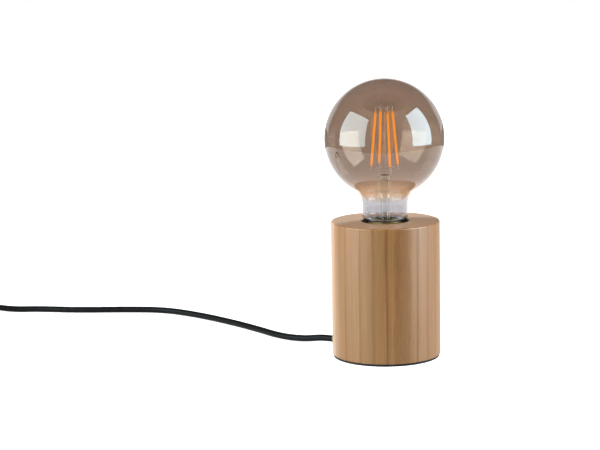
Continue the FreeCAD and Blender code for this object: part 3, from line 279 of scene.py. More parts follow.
def tree_with(name, kind, inputs, outputs):
    """A new node group and its two end nodes. An input is a default, or a kind without one."""
    group = bpy.data.node_groups.new(name, kind + "NodeTree")
    for label, value in inputs.items():
        bare = isinstance(value, str)
        made = group.interface.new_socket(label, in_out="INPUT",
                                          socket_type=value if bare else SOCKETS[type(value)])
        if not bare:
            made.default_value = value
    for label, socket in outputs.items():
        group.interface.new_socket(label, in_out="OUTPUT", socket_type=socket)
    t = Tree(group)
    return t, t.add("NodeGroupInput").outputs, t.add("NodeGroupOutput").inputs


# ------------------------------------------------------------------ shared effects

def made_once(maker):
    """Builds a shared node group at its first use and hands the same one out again."""
    def find():
        name = maker.__name__.replace("_", " ").title()
        return bpy.data.node_groups.get(name) or maker(name)
    return find


@made_once
def fine_tooth(name):
    """The fine even texture that a mould or a blasted tool leaves on a surface."""
    t, given, out = tree_with(name, "Shader",
                              {"Grain": 0.35, "Wave": 6.0},
                              {"Height": NUMBER, "Gloss": NUMBER})
    spot = t.spot()
    fine = t.noise(t.scaled(spot, t.over(1.0, given["Grain"])), 1.0, 3.0)
    broad = t.noise(t.scaled(spot, t.over(1.0, given["Wave"])), 1.0, 2.0)
    t.put(out["Height"], t.times_plus(broad, 0.6, fine))
    t.put(out["Gloss"], t.times_plus(broad, 0.7, t.times(fine, 0.3)))
    return t.tree


@made_once
def uneven_tone(name):
    """A colour that drifts a little lighter and darker over the piece."""
    t, given, out = tree_with(name, "Shader",
                              {"Colour": (0.5, 0.5, 0.5, 1.0), "Patch": 8.0,
                               "Drift": 0.2}, {"Colour": COLOUR})
    size = t.over(1.0, given["Patch"])
    wander = t.noise(t.scaled(t.spot(), size), 1.0, 4.0, 0.6)
    gain = t.times_plus(t.less(wander, 0.5), t.times(given["Drift"], 2.0), 1.0)
    t.put(out["Colour"], t.scaled(given["Colour"], gain))
    return t.tree


@made_once
def hair_scratches(name):
    """Fine straight scratches in several directions, as handling leaves them."""
    t, given, out = tree_with(name, "Shader", {"Spacing": 2.0, "Share": 0.3}, {"Mask": NUMBER})
    total = None
    for turn, squeeze in (((20, 35, 15), 26.0), ((-40, 10, 70), 34.0)):
        spot = t.spot(turn)
        stretched = t.stretched(spot, (1.0, 1.0 / squeeze, 1.0))
        lines = t.noise(t.scaled(stretched, t.over(2.0, given["Spacing"])), 1.0, 1.0, 0.4, 0.3)
        edge = t.less(0.78, t.times(given["Share"], 0.3))
        line = t.spread(lines, edge, t.plus(edge, 0.04))
        total = line if total is None else t.math("MAXIMUM", total, line)
    t.put(out["Mask"], total)
    return t.tree


@made_once
def turning_marks(name):
    """Close rings about the lamp's axis, as a lathe or a spinning tool leaves them."""
    t, given, out = tree_with(name, "Shader", {"Spacing": 0.5}, {"Height": NUMBER})
    x, y, z = t.split(t.spot())
    radius = t.math("SQRT", t.plus(t.times(x, x), t.times(y, y)))
    along = t.over(t.plus(radius, z), given["Spacing"])
    t.put(out["Height"], t.noise(t.join(along, 0.0, 0.0), 1.0, 3.0, 0.7))
    return t.tree


@made_once
def settled_dust(name):
    """A thin film of dust in patches on what faces up."""
    t, given, out = tree_with(name, "Shader", {"Amount": 0.3}, {"Mask": NUMBER})
    up = t.split(t.add("ShaderNodeNewGeometry").outputs["Normal"])[2]
    facing = t.spread(up, 0.35, 1.0)
    specks = t.noise(t.spot(), 2.2, 5.0, 0.75)
    patch = t.noise(t.spot(), 0.12, 2.0)
    film = t.times(t.spread(specks, 0.45, 0.75), t.spread(patch, 0.3, 0.7))
    t.put(out["Mask"], t.times(t.times(film, facing), given["Amount"]))
    return t.tree


# ------------------------------------------------------------------ finishes

def new_finish(name):
    """An empty material and its tree."""
    material = bpy.data.materials.new(name)
    material.use_nodes = True
    material.node_tree.nodes.clear()
    return material, Tree(material.node_tree)


def surface(t, base, roughness, normal=None, **plain):
    """The Principled shader with its plain values, wired to the output."""
    inputs = {"Base Color": base, "Roughness": roughness}
    if normal is not None:
        inputs["Normal"] = normal
    shader = t.add("ShaderNodeBsdfPrincipled", inputs)
    for key, value in plain.items():
        t.put(shader.inputs[key.replace("_", " ").title().replace("Ior", "IOR")], value)
    out = t.add("ShaderNodeOutputMaterial", {"Surface": shader.outputs[0]})
    return shader, out


def wood_finish():
    """Oiled wood: dark rings about a pith beside the piece, fibres, pores and curly figure."""
    look = settings().wood
    material, t = new_finish("oiled_wood")
    spot = t.spot()
    drift = t.vector("SUBTRACT", t.noise(t.stretched(spot, (1.0, 1.0, 0.35)), 0.022, 2.0,
                                         out="Color"), (0.5, 0.5, 0.5))
    ripple = t.vector("SUBTRACT", t.noise(t.stretched(spot, (1.0, 1.0, 0.12)), 0.16, 2.0,
                                          out="Color"), (0.5, 0.5, 0.5))
    moved = t.vector("ADD", spot, t.vector("ADD", t.scaled(drift, 1.0), t.scaled(ripple, 0.6)))
    pith = t.add("ShaderNodeMapping", {
        "Vector": moved, "Location": (-look.pith_x / MM, -look.pith_y / MM, 0.0),
        "Rotation": (math.radians(0.3), math.radians(-0.5), 0.0)}).outputs[0]
    x, y, z = t.split(pith)
    radius = t.math("SQRT", t.plus(t.times(x, x), t.times(y, y)))
    rings = []
    for place, rise, fall, dark in ((30.2, 2.0, 1.6, 0.55), (34.2, 1.2, 1.0, 0.9),
                                    (43.2, 3.0, 1.2, 0.45), (53.5, 2.2, 0.7, 0.55),
                                    (68.1, 2.6, 0.8, 0.6), (82.0, 3.4, 0.9, 0.6),
                                    (93.0, 2.8, 0.8, 0.5), (105.0, 3.4, 0.9, 0.6)):
        rings += [((place - rise) / 130.0, 0.05), (place / 130.0, float(dark)),
                  ((place + fall) / 130.0, 0.0)]
    # Fibres run along the trunk; on the end grain they show as small dots.
    fibre = t.noise(t.stretched(moved, (1.0, 1.0, 0.018)), 1.7, 4.0, 0.65)
    ragged = t.times_plus(t.less(fibre, 0.5), 2.4, radius)
    late = t.ramp(t.over(ragged, 130.0), [(0.0, 0.0)] + rings + [(0.9, 0.3), (1.0, 0.0)])
    # Weaker yearly lines between the strong ones.
    fine_rings = t.noise(t.join(t.times(radius, 0.55), 0.0, 0.0), 1.0, 3.0, 0.6)
    broad = t.noise(t.stretched(moved, (1.0, 1.0, 0.03)), 0.28, 3.0, 0.5)
    # Curly figure where the surface lies flat on the rings: short slanting waves.
    slant = t.add("ShaderNodeMapping", {"Vector": moved, "Rotation": (0.0, math.radians(24), 0.0),
                                        "Scale": (1.0, 0.3, 0.16)}).outputs[0]
    curl = t.noise(slant, 0.9, 3.0, 0.6, 0.4)
    flat = t.times(t.spread(radius, 37.0, 30.0), look.figure)
    # The outer wood is pale; its dark rings are weaker.
    outer = t.spread(radius, 73.0, 90.0)
    base = t.blend(outer, look.early, look.sap)
    base = t.blend(late, base, t.blend(outer, look.late, tuple(0.72 * c for c in look.sap)))
    gain = 1.0
    for pattern, strength in ((fibre, 0.62), (broad, 0.26), (fine_rings, 0.22),
                              (curl, t.times(flat, 0.9))):
        gain = t.plus(gain, t.times(t.less(pattern, 0.5), strength))
    base = t.scaled(base, gain)
    # Warm and cool drift over the whole block.
    warm = t.noise(t.stretched(spot, (1.0, 1.0, 0.2)), 0.035, 2.0)
    base = t.blend(t.spread(warm, 0.35, 0.65), base, t.stretched(base, (1.05, 0.97, 0.93)))
    # Painted light: the top is painted lighter on the left and darker on the right, as the lamps
    # fall on it.
    end_grain = t.spread(t.split(spot)[2], 109.8, 110.2)
    side = t.spread(t.plus(t.split(spot)[0], t.times(t.less(broad, 0.5), 30.0)), -34.0, 34.0, 1.16,
        0.86)
    base = t.scaled(base, t.spread(end_grain, 0.0, 1.0, 1.0, side))
    # Pores: short dark flecks along the trunk.
    cell = t.stretched(moved, (0.27, 0.27, 0.085))
    near = t.cells(cell, 1.0)
    choice = t.split(t.cells(cell, 1.0, out="Color"))[0]
    fleck = t.times(t.spread(near, 0.12, 0.05), t.spread(choice, 0.45, 0.50))
    small = t.stretched(moved, (1.15, 1.15, 0.10))
    pore = t.times(t.spread(t.cells(small, 1.0), 0.20, 0.10),
                  t.spread(t.split(t.cells(small, 1.0, out="Color"))[1], 0.62, 0.72))
    base = t.blend(t.times(fleck, 0.55), base, (0.14, 0.075, 0.035))
    base = t.blend(t.times(pore, 0.45), base, (0.20, 0.11, 0.055))
    # Painted shade: the wall of the hole is painted near-black, standing in for the shade deep in
    # it.
    across = t.vector("LENGTH", t.stretched(spot, (1.0, 1.0, 0.0)))
    painted_hole_shade = t.times(t.spread(across, 19.45, 19.1), t.spread(t.split(spot)[2], 109.7, 109.0))
    base = t.blend(t.times(painted_hole_shade, 0.93), base, (0.012, 0.009, 0.006))
    rough = t.plus(0.36, t.times(t.less(fibre, late), 0.10))
    height = t.less(t.times(fibre, 0.6), t.plus(fleck, t.times(pore, 0.5)))
    surface(t, base, rough, t.bump(height, 0.05), specular_ior_level=0.55)
    return material


def black_finish(name, shade, grain, depth, gloss, dust=0.0, swing=0.12):
    """Black moulded plastic or rubber with the texture of its mould."""
    material, t = new_finish(name)
    tooth = t.use(fine_tooth(), {"Grain": grain})
    base = t.use(uneven_tone(), {"Colour": (*shade, 1.0), "Drift": 0.25, "Patch": 5.0})["Colour"]
    marks = t.use(hair_scratches(), {"Spacing": 1.6, "Share": 0.25})["Mask"]
    base = t.blend(t.times(marks, 0.10), base, (0.10, 0.10, 0.105))
    if dust:
        film = t.use(settled_dust(), {"Amount": dust})["Mask"]
        base = t.blend(film, base, (0.17, 0.165, 0.16))
    rough = t.times_plus(tooth["Gloss"], swing, gloss - swing / 2)
    surface(t, base, rough, t.bump(tooth["Height"], depth))
    return material


def metal_finish(name, shade, gloss, turned=0.0, tarnish=None):
    """Metal with drawn or turned lines, scratches and a breath of tarnish."""
    material, t = new_finish(name)
    base = t.use(uneven_tone(), {"Colour": (*shade, 1.0), "Drift": 0.14, "Patch": 4.0})["Colour"]
    marks = t.use(hair_scratches(), {"Spacing": 1.2, "Share": 0.4})["Mask"]
    tooth = t.use(fine_tooth(), {"Grain": 0.25})
    if tarnish:
        cloud = t.noise(t.spot(), 0.35, 4.0, 0.65)
        base = t.blend(t.spread(cloud, 0.48, 0.72, 0.0, 0.7), base, tarnish)
    rough = t.plus(gloss, t.times_plus(tooth["Gloss"], 0.16, t.times(marks, 0.12)))
    height = t.times(tooth["Height"], 0.3)
    if turned:
        lines = t.use(turning_marks(), {"Spacing": turned})["Height"]
        height = t.plus(height, lines)
    surface(t, base, rough, t.bump(height, 0.012), metallic=1.0)
    return material


def chalky_finish(name, shade, speck, gloss):
    """Ceramic, cement or felt: pale grains, small pits and a rough face."""
    material, t = new_finish(name)
    spot = t.spot()
    grains = t.cells(spot, 1.6, out="Color")
    tone = t.split(grains)[0]
    base = t.blend(t.spread(tone, 0.3, 1.0, 0.0, 0.35), shade, speck)
    pits = t.spread(t.noise(spot, 1.4, 4.0, 0.7), 0.62, 0.70)
    base = t.blend(t.times(pits, 0.5), base, tuple(0.4 * c for c in speck))
    rough = t.times_plus(tone, 0.2, gloss)
    surface(t, base, rough, t.bump(t.less(t.noise(spot, 3.0, 3.0), pits), 0.06))
    return material


def board_finish():
    """Green circuit board with pale component tops."""
    material, t = new_finish("circuit_board")
    spot = t.spot()
    x, y, z = t.split(spot)
    tracks = t.cells(t.stretched(spot, (1.0, 1.0, 0.0)), 0.45, "DISTANCE_TO_EDGE")
    copper = t.spread(tracks, 0.10, 0.06)
    base = t.blend(copper, (0.055, 0.085, 0.012), (0.16, 0.15, 0.03))
    parts = t.spread(z, 97.0, 96.8)
    base = t.blend(parts, base, (0.03, 0.03, 0.035))
    surface(t, base, t.spread(tracks, 0.0, 0.4, 0.3, 0.5), t.bump(copper, 0.05))
    return material


def sheath_finish():
    """Round black sheath: drawn lines along the cord and a soft satin gloss."""
    look = settings().finish
    material, t = new_finish("cord_sheath_black")
    along = t.add("ShaderNodeUVMap").outputs[0]
    u, v = t.split(along)[:2]
    lines = t.noise(t.join(t.times(u, 30.0), t.times(v, 26.0), 0.0), 1.0, 3.0, 0.6)
    tooth = t.use(fine_tooth(), {"Grain": 0.5, "Wave": 14.0})
    base = t.use(uneven_tone(), {"Colour": (*look.sheath, 1.0), "Drift": 0.3,
                                 "Patch": 12.0})["Colour"]
    film = t.use(settled_dust(), {"Amount": 0.05})["Mask"]
    base = t.blend(film, base, (0.10, 0.10, 0.10))
    rough = t.times_plus(tooth["Gloss"], 0.14, 0.40)
    height = t.plus(t.times(lines, 0.7), t.times(tooth["Height"], 0.3))
    surface(t, base, rough, t.bump(height, 0.05), specular_ior_level=0.10)
    return material


def core_finish(name, shade):
    """Coloured insulation of a single core."""
    material, t = new_finish(name)
    tooth = t.use(fine_tooth(), {"Grain": 0.4})
    base = t.use(uneven_tone(), {"Colour": (*shade, 1.0), "Drift": 0.2, "Patch": 3.0})["Colour"]
    surface(t, base, t.times_plus(tooth["Gloss"], 0.1, 0.33), t.bump(tooth["Height"], 0.02))
    return material


def see_through(t, shader, shade):
    """Lets the lamps' light pass through glass with only its tint."""
    return t.mix(t.path("Is Shadow Ray"), shader.outputs[0], t.clear(shade))


def globe_finish():
    """Smoked amber glass that turns clear down the neck."""
    look = settings().glass
    material, t = new_finish("smoked_glass")
    spot = t.spot()
    z = t.split(spot)[2]
    wander = t.noise(t.stretched(spot, (1.0, 1.0, 0.3)), 0.06, 2.0)
    edge = t.plus(z, t.times(t.less(wander, 0.5), 4.0))
    level = look.tint_end / MM
    tinted = t.spread(edge, level - 2.5, level + 3.0)
    full = t.spread(edge, level + 4.0, level + 21.0)
    cloud = t.noise(spot, 0.03, 3.0, 0.55)
    smoke = t.blend(full, look.amber, look.smoke)
    smoke = t.scaled(smoke, t.spread(cloud, 0.2, 0.8, 0.97, 1.03))
    base = t.blend(tinted, look.clear, smoke)
    # The wall is longer to look through near the outline, so its tint deepens there.
    facing = t.add("ShaderNodeLayerWeight", {"Blend": 0.5}).outputs["Facing"]
    deeper = t.math("POWER", facing, 2.6)
    twice = t.stretched(base, base)
    base = t.blend(deeper, base, t.blend(tinted, t.stretched(twice, base), twice))
    # The tint is a film on the inside, which mirrors more than bare glass seen from within.
    centre = (GLASS_TOP - GLOBE_RADIUS - look.sink) / MM
    away = t.vector("LENGTH", t.vector("SUBTRACT", spot, (0.0, 0.0, centre)))
    inside = t.math("LESS_THAN", away, GLOBE_RADIUS / MM - 0.45)
    front = t.less(1.0, t.add("ShaderNodeNewGeometry").outputs["Backfacing"])
    film = t.times(t.times(inside, front), tinted)
    wave = t.noise(spot, 0.045, 2.0)
    shader, out = surface(t, base, 0.0, t.bump(wave, 0.04), transmission_weight=1.0, ior=1.5,
                          coat_weight=film, coat_ior=2.3, coat_roughness=0.0)
    t.put(out.inputs["Surface"], see_through(t, shader, base))
    return material


def stem_finish():
    """Clear flint glass of the stem, drawn along its length."""
    material, t = new_finish("clear_glass")
    spot = t.spot()
    base = t.blend(t.noise(spot, 0.12, 2.0), (0.95, 0.955, 0.95), (0.90, 0.91, 0.90))
    drawn = t.noise(t.stretched(spot, (1.0, 1.0, 0.12)), 0.5, 2.0)
    shader, out = surface(t, base, 0.0, t.bump(drawn, 0.08), transmission_weight=1.0, ior=1.5)
    t.put(out.inputs["Surface"], see_through(t, shader, base))
    return material


def glow_finish():
    """Silicone coat of the lit sticks, glowing amber, a little weaker at the ends."""
    look = settings().glow
    material, t = new_finish("glowing_coat")
    spot = t.spot()
    z = t.split(spot)[2]
    middle = t.times(t.spread(z, 153.0, 156.5, 0.55, 1.0), t.spread(z, 198.0, 194.5, 0.55, 1.0))
    grain = t.noise(spot, 0.9, 3.0, 0.6)
    gain = t.times(middle, t.spread(grain, 0.2, 0.8, 0.9, 1.1))
    lit = t.scaled(look.amber, gain)
    base = t.blend(grain, (0.36, 0.12, 0.008), (0.44, 0.16, 0.012))
    surface(t, base, 0.55, t.bump(grain, 0.05), emission_color=lit, emission_strength=look.strength)
    return material


def end_glass_finish():
    """Near-black glass of the insulator under the cap."""
    material, t = new_finish("insulator_glass")
    base = t.blend(t.noise(t.spot(), 0.7, 3.0), (0.012, 0.009, 0.016), (0.03, 0.022, 0.04))
    surface(t, base, 0.09, t.bump(t.noise(t.spot(), 0.5, 2.0), 0.05))
    return material


def kept(name, maker, *values):
    """The material of that name, made at its first use."""
    return bpy.data.materials.get(name) or maker(*values)


def plated(name):
    look = settings().finish
    makers = {"brass": lambda: metal_finish("brass", look.brass, 0.16, 0.5, (0.30, 0.24, 0.05)),
        "nickel": lambda: metal_finish("nickel", look.nickel, 0.14),
        "zinc": lambda: metal_finish("zinc", look.zinc, 0.24, 0.0, (0.40, 0.41, 0.43))}
    return bpy.data.materials.get(name) or makers[name]()


# ------------------------------------------------------------------ mesh helpers

def dress(material, *nodes):
    """Gives CAD nodes their finish."""
    for name in nodes:
        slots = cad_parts[name].data.materials
        slots.clear()
        slots.append(material)


def new_piece(name, mesh):
    piece = bpy.data.objects.new(name, mesh)
    bpy.context.scene.collection.objects.link(piece)
    return piece


def outline_mesh(name, spots):
    """A chain of vertices: (radius, height) pairs in the XZ plane, or points in space."""
    spots = [Vector((p[0], 0.0, p[1])) if len(p) == 2 else Vector(p) for p in spots]
    mesh = bpy.data.meshes.new(name)
    mesh.from_pydata(spots, [(k, k + 1) for k in range(len(spots) - 1)], [])
    return mesh


def arc(x, z, radius, start, end, count):
    """Points of an arc in degrees, both ends included."""
    turns = np.linspace(math.radians(start), math.radians(end), count)
    return [(x + radius * math.cos(a), z + radius * math.sin(a)) for a in turns]


def straight(start, end, count):
    """Points from start to end, without the first."""
    return [tuple(np.array(start) + (np.array(end) - np.array(start)) * k / count)
            for k in range(1, count + 1)]


def grown(name, seed, tree, values, body, nodes, sharp=35.0):
    """Runs a Geometry Nodes tree on a seed mesh and keeps its result as a plain mesh."""
    piece = new_piece(name, seed)
    modifier = piece.modifiers.new(tree.name, "NODES")
    modifier.node_group = tree
    for item in tree.interface.items_tree:
        if item.item_type == "SOCKET" and item.in_out == "INPUT" and item.name in values:
            modifier[item.identifier] = values[item.name]
    evaluated = piece.evaluated_get(bpy.context.evaluated_depsgraph_get())
    mesh = bpy.data.meshes.new_from_object(evaluated)
    piece.modifiers.remove(modifier)
    piece.data = mesh
    mesh.name = name
    if not mesh.polygons:
        raise RuntimeError(name + " came out empty")
    if not mesh.materials:
        mesh.materials.append(values["Finish"])
    mesh.set_sharp_from_angle(angle=math.radians(sharp))
    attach(piece, body)
    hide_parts(*nodes)
    return piece


def turned(name, spots, segments, finish, body, slot, node, sharp=35.0, **more):
    """Turns an outline into a piece; more holds the tree's other values, _ for a space."""
    values = {key.replace("_", " ").title(): value for key, value in more.items()}
    return grown(name, outline_mesh(name + "_outline", spots), turned_piece(), {
        "Points": len(spots), "Segments": segments, "Finish": finish, **values},
        body, [node], sharp)


def screw_set(name, spots, node, *sizes):
    """Zinc plated screws; the sizes are in millimetres, the last a share for the cross."""
    keys = ("Head Radius", "Head Foot", "Head Height", "Shank Radius", "Length",
            "Recess Length", "Recess Width")
    values = {key: size * MM for key, size in zip(keys, sizes)}
    return grown(name, spots_mesh(name + "_spots", spots), driven_screws(), {
        **values, "Cross": sizes[-1], "Finish": plated("zinc")}, "lamp", [node])


def upright_spots(node, up, turn):
    """Where a node's screws sit, driven from above or from below, each turned on a little."""
    return [(((a.x + b.x) / 2, (a.y + b.y) / 2, (b if up else a).z),
             (0.0 if up else math.pi, 0.0, turn * k)) for k, (a, b) in enumerate(islands(node))]


def islands(node):
    """Boxes of a CAD node's separate parts, lowest and highest corner of each."""
    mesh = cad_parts[node].data
    ends = [tuple(round(c * 1e6) for c in v.co) for v in mesh.vertices]
    boss = {spot: spot for spot in ends}

    def find(spot):
        while boss[spot] != spot:
            boss[spot] = boss[boss[spot]]
            spot = boss[spot]
        return spot

    for edge in mesh.edges:
        boss[find(ends[edge.vertices[0]])] = find(ends[edge.vertices[1]])
    parts = {}
    for spot in ends:
        parts.setdefault(find(spot), []).append(spot)
    boxes = [(Vector(np.min(p, 0)) * 1e-6, Vector(np.max(p, 0)) * 1e-6) for p in parts.values()]
    return sorted(boxes, key=lambda box: tuple(box[0]))


# ------------------------------------------------------------------ geometry trees

def live(sockets, name):
    """The socket of that name that is in use."""
    return next(s for s in sockets if s.name == name and s.enabled)


def set_out(t, given, shape):
    """Puts a shape at each spot, turned by the spot's own turn."""
    turn = t.add("GeometryNodeInputNamedAttribute", {"Name": "turn"}, data_type="FLOAT_VECTOR")
    euler = t.add("FunctionNodeEulerToRotation", {0: live(turn.outputs, "Attribute")})
    return t.shape("InstanceOnPoints", {"Points": given["Spots"], "Instance": shape,
                                        "Rotation": euler.outputs[0]})


def ended(t, given, out, mesh):
    """Ends a geometry tree: real, smooth and dressed."""
    real = t.shape("RealizeInstances", {"Geometry": mesh})
    smooth = t.shape("SetShadeSmooth", {"Geometry": real})
    t.put(out[0], t.shape("SetMaterial", {"Geometry": smooth, "Material": given["Finish"]}))
    return t.tree


def shifted(t, mesh, *place):
    return t.shape("Transform", {"Geometry": mesh, "Translation": t.join(*place)})


@made_once
def turned_piece(name):
    """Turns an outline about the Z axis, with a rolled thread between two heights."""
    t, given, out = tree_with(name, "Geometry", {"Outline": GEOMETRY, "Points": 2, "Segments": 96,
        "Pitch": 3.629 * MM, "Depth": 0.0, "Thread Low": 0.0, "Thread High": 0.0, "Fade": 1.0 * MM,
        "Pinch Low": 1.0, "Pinch High": 1.1, "Pinch Width": 1.0, "Pinch Depth": 1.0,
        "Finish": FINISH}, {"Piece": GEOMETRY})
    rows, low, high = given["Points"], given["Thread Low"], given["Thread High"]
    sheet = t.shape("MeshGrid", {"Size X": 1.0, "Size Y": 1.0, "Vertices Y": rows,
                                 "Vertices X": t.plus(given["Segments"], 1.0)})
    index = t.shape("InputIndex")
    row = t.math("ROUND", t.math("MODULO", index, rows))
    turn = t.over(t.math("FLOOR", t.over(t.plus(index, 0.5), rows)), given["Segments"])
    spot = t.add("GeometryNodeSampleIndex", {"Geometry": given["Outline"], "Index": row},
                 data_type="FLOAT_VECTOR", domain="POINT")
    t.put(live(spot.inputs, "Value"), t.shape("InputPosition"))
    x, _, z = t.split(live(spot.outputs, "Value"))
    phase = t.less(t.over(z, given["Pitch"]), turn)
    valley = t.times_plus(t.math("COSINE", t.times(phase, 2 * math.pi)), -0.5, 0.5)
    rise = t.spread(z, low, t.plus(low, given["Fade"]))
    fall = t.spread(z, high, t.less(high, given["Fade"]))
    radius = t.less(x, t.times(t.times(valley, given["Depth"]), t.times(rise, fall)))
    angle = t.times(turn, 2 * math.pi)
    wide, deep = (t.spread(z, given["Pinch Low"], given["Pinch High"], 1.0, given[way])
                  for way in ("Pinch Width", "Pinch Depth"))
    along = t.times(t.times(radius, wide), t.math("COSINE", angle))
    aside = t.times(t.times(radius, deep), t.math("SINE", angle))
    shape = t.shape("SetPosition", {"Geometry": sheet, "Position": t.join(along, aside, z)})
    closed = t.shape("MergeByDistance", {"Geometry": shape, "Distance": 1e-6})
    bare = t.math("LESS_THAN", t.shape("InputMeshEdgeNeighbors"), 0.5)
    tidy = t.shape("DeleteGeometry", {"Geometry": closed, "Selection": bare}, domain="EDGE")
    return ended(t, given, out, tidy)


@made_once
def round_wire(name):
    """A round wire of one thickness along a chain of points, with closed ends."""
    t, given, out = tree_with(name, "Geometry", {
        "Path": GEOMETRY, "Radius": 1.0 * MM, "Sides": 20,
        "Step": 0.8 * MM, "Finish": FINISH}, {"Wire": GEOMETRY})
    line = t.shape("CurveSplineType", {"Curve": t.shape("MeshToCurve", {"Mesh": given["Path"]})},
                   spline_type="CATMULL_ROM")
    even = t.shape("ResampleCurve", {"Curve": line, "Length": given["Step"]}, mode="LENGTH")
    ring = t.shape("CurvePrimitiveCircle", {"Resolution": given["Sides"],
                                            "Radius": given["Radius"]})
    tube = t.shape("CurveToMesh", {"Curve": even, "Profile Curve": ring, "Fill Caps": True})
    return ended(t, given, out, tube)


@made_once
def driven_screws(name):
    """One screw at each point, turned as the point's own turn says: head, recess and shank."""
    t, given, out = tree_with(name, "Geometry", {"Spots": GEOMETRY, "Head Radius": 2.4 * MM,
        "Head Height": 1.0 * MM, "Head Foot": 2.4 * MM, "Shank Radius": 1.4 * MM,
        "Length": 9.0 * MM, "Recess Length": 2.6 * MM, "Recess Width": 0.5 * MM, "Cross": 1.0,
        "Finish": FINISH}, {"Screws": GEOMETRY})
    tall, narrow, long = given["Head Height"], given["Recess Width"], given["Recess Length"]
    head = t.shape("MeshCone", {
        "Vertices": 32, "Radius Top": given["Head Radius"], "Radius Bottom": given["Head Foot"],
        "Depth": tall})
    carve = t.add("GeometryNodeMeshBoolean", {"Mesh 1": shifted(t, head, 0.0, 0.0,
                                                              t.times(tall, -1.0))},
                  operation="DIFFERENCE")
    across = t.math("MAXIMUM", t.times(long, given["Cross"]), narrow)
    for sizes in ((long, narrow), (narrow, across)):
        cutter = t.shape("MeshCube", {"Size": t.join(*sizes, t.times(tall, 1.2))})
        t.tree.links.new(cutter, carve.inputs["Mesh 2"])
    rest = t.less(given["Length"], t.times(tall, 0.7))
    shank = t.shape("MeshCylinder", {"Vertices": 24, "Radius": given["Shank Radius"],
                                     "Depth": rest})
    shank = shifted(t, shank, 0.0, 0.0, t.less(t.times(rest, 0.5), given["Length"]))
    both = t.add("GeometryNodeJoinGeometry")
    for part in (carve.outputs[0], shank):
        t.tree.links.new(part, both.inputs[0])
    return ended(t, given, out, set_out(t, given, both.outputs[0]))


@made_once
def glowing_sticks(name):
    """A round-ended stick at each point, leaning as the point's own turn says."""
    t, given, out = tree_with(name, "Geometry", {
        "Spots": GEOMETRY, "Radius": 0.95 * MM, "Length": 44 * MM,
        "Bead": 1.35 * MM, "Finish": FINISH}, {"Sticks": GEOMETRY})
    tube = t.shape("MeshGrid", {"Size X": 1.0, "Size Y": 1.0, "Vertices X": 25, "Vertices Y": 96})
    flat = t.split(t.shape("InputPosition"))
    turn = t.times(t.plus(flat[0], 0.5), 2 * math.pi)
    height = t.times(t.plus(flat[1], 0.5), given["Length"])
    # Half-round ends, and the faint beads of the chips under the coat.
    end = t.math("MINIMUM", height, t.less(given["Length"], height))
    gap = t.less(1.0, t.math("MINIMUM", t.over(end, given["Radius"]), 1.0))
    dome = t.math("SQRT", t.math("MAXIMUM", t.less(1.0, t.times(gap, gap)), 0.0))
    bead = t.math("SINE", t.times(t.over(height, given["Bead"]), 2 * math.pi))
    radius = t.times(t.times(given["Radius"], dome), t.times_plus(bead, 0.025, 0.975))
    shape = t.shape("SetPosition", {"Geometry": tube, "Position": t.join(
        t.times(radius, t.math("COSINE", turn)), t.times(radius, t.math("SINE", turn)), height)})
    closed = t.shape("MergeByDistance", {"Geometry": shape, "Distance": 1e-6})
    return ended(t, given, out, set_out(t, given, closed))


def spots_mesh(name, spots):
    """Points with a turn each: [(place, (x, y, z) turn in radians), ...]."""
    mesh = bpy.data.meshes.new(name)
    mesh.from_pydata([place for place, _ in spots], [], [])
    turns = mesh.attributes.new("turn", "FLOAT_VECTOR", "POINT")
    turns.data.foreach_set("vector", [c for _, turn in spots for c in turn])
    return mesh


# ------------------------------------------------------------------ cord

# The cord's route, in millimetres: out of the base, down to the floor and away to the switch.
TO_SWITCH = [(-43.25, 27.03, 7.0), (-52.58, 32.85, 7.0), (-65.0, 41.3, 4.1), (-79.0, 51.2, 2.7),
    (-93.0, 63.0, 2.7), (-110.0, 85.5, 2.7), (-135.0, 114.1, 2.7), (-166.0, 144.0, 2.7),
    (-198.0, 166.5, 2.7), (-234.0, 169.8, 2.7), (-277.0, 169.0, 2.7), (-314.0, 175.6, 2.7),
    (-337.0, 174.0, 2.7), (-360.0, 172.0, 6.5), (-383.0, 172.0, 6.5)]
FROM_SWITCH = [(-431.0, 172.0, 6.5), (-447.0, 172.0, 6.5), (-466.0, 172.0, 2.7)]
TO_PLUG = [(-472.0, 90.0, 8.7), (-458.0, 90.0, 6.85), (-448.0, 90.0, 6.85)]


def coil_turns(per_turn=20):
    """The coil of spare cord: inwards on the floor, a climb, and outwards on top."""
    turns, pitch, outer, inner = 3.0, 6.0, 41.0, 23.0
    spots = []
    for k in range(int(6.5 * per_turn) + 1):
        turn = k / per_turn
        climb = turn - turns
        if climb <= 0:
            radius, lift = outer - pitch * turn, 0.0
        elif climb < 0.5:
            radius = inner - pitch * (climb - 2 * climb * climb)
            lift = (1 - math.cos(2 * math.pi * climb)) / 2
        else:
            radius, lift = inner + pitch * (climb - 0.5), 1.0
        angle = math.radians(90) + 2 * math.pi * turn
        spots.append((-487.4 + radius * math.cos(angle), 131.0 + radius * math.sin(angle),
                      2.7 + pitch * lift))
    return spots


def smooth_cord(name, spots, nodes):
    """One NURBS cord through its route, which stands for the CAD's stretches."""
    line = bpy.data.curves.new(name, "CURVE")
    line.dimensions = "3D"
    line.bevel_depth = CORD_DIAMETER / 2
    line.bevel_resolution = 7
    line.resolution_u = 10
    line.use_fill_caps = True
    spline = line.splines.new("NURBS")
    spline.points.add(len(spots) - 1)
    for point, spot in zip(spline.points, spots):
        point.co = (*(c * MM for c in spot), 1.0)
    spline.order_u = 3
    spline.use_endpoint_u = True
    line.materials.append(kept("cord_sheath_black", sheath_finish))
    piece = new_piece(name, line)
    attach(piece, "lamp")
    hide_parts(*nodes)
    return piece


# ------------------------------------------------------------------ operators

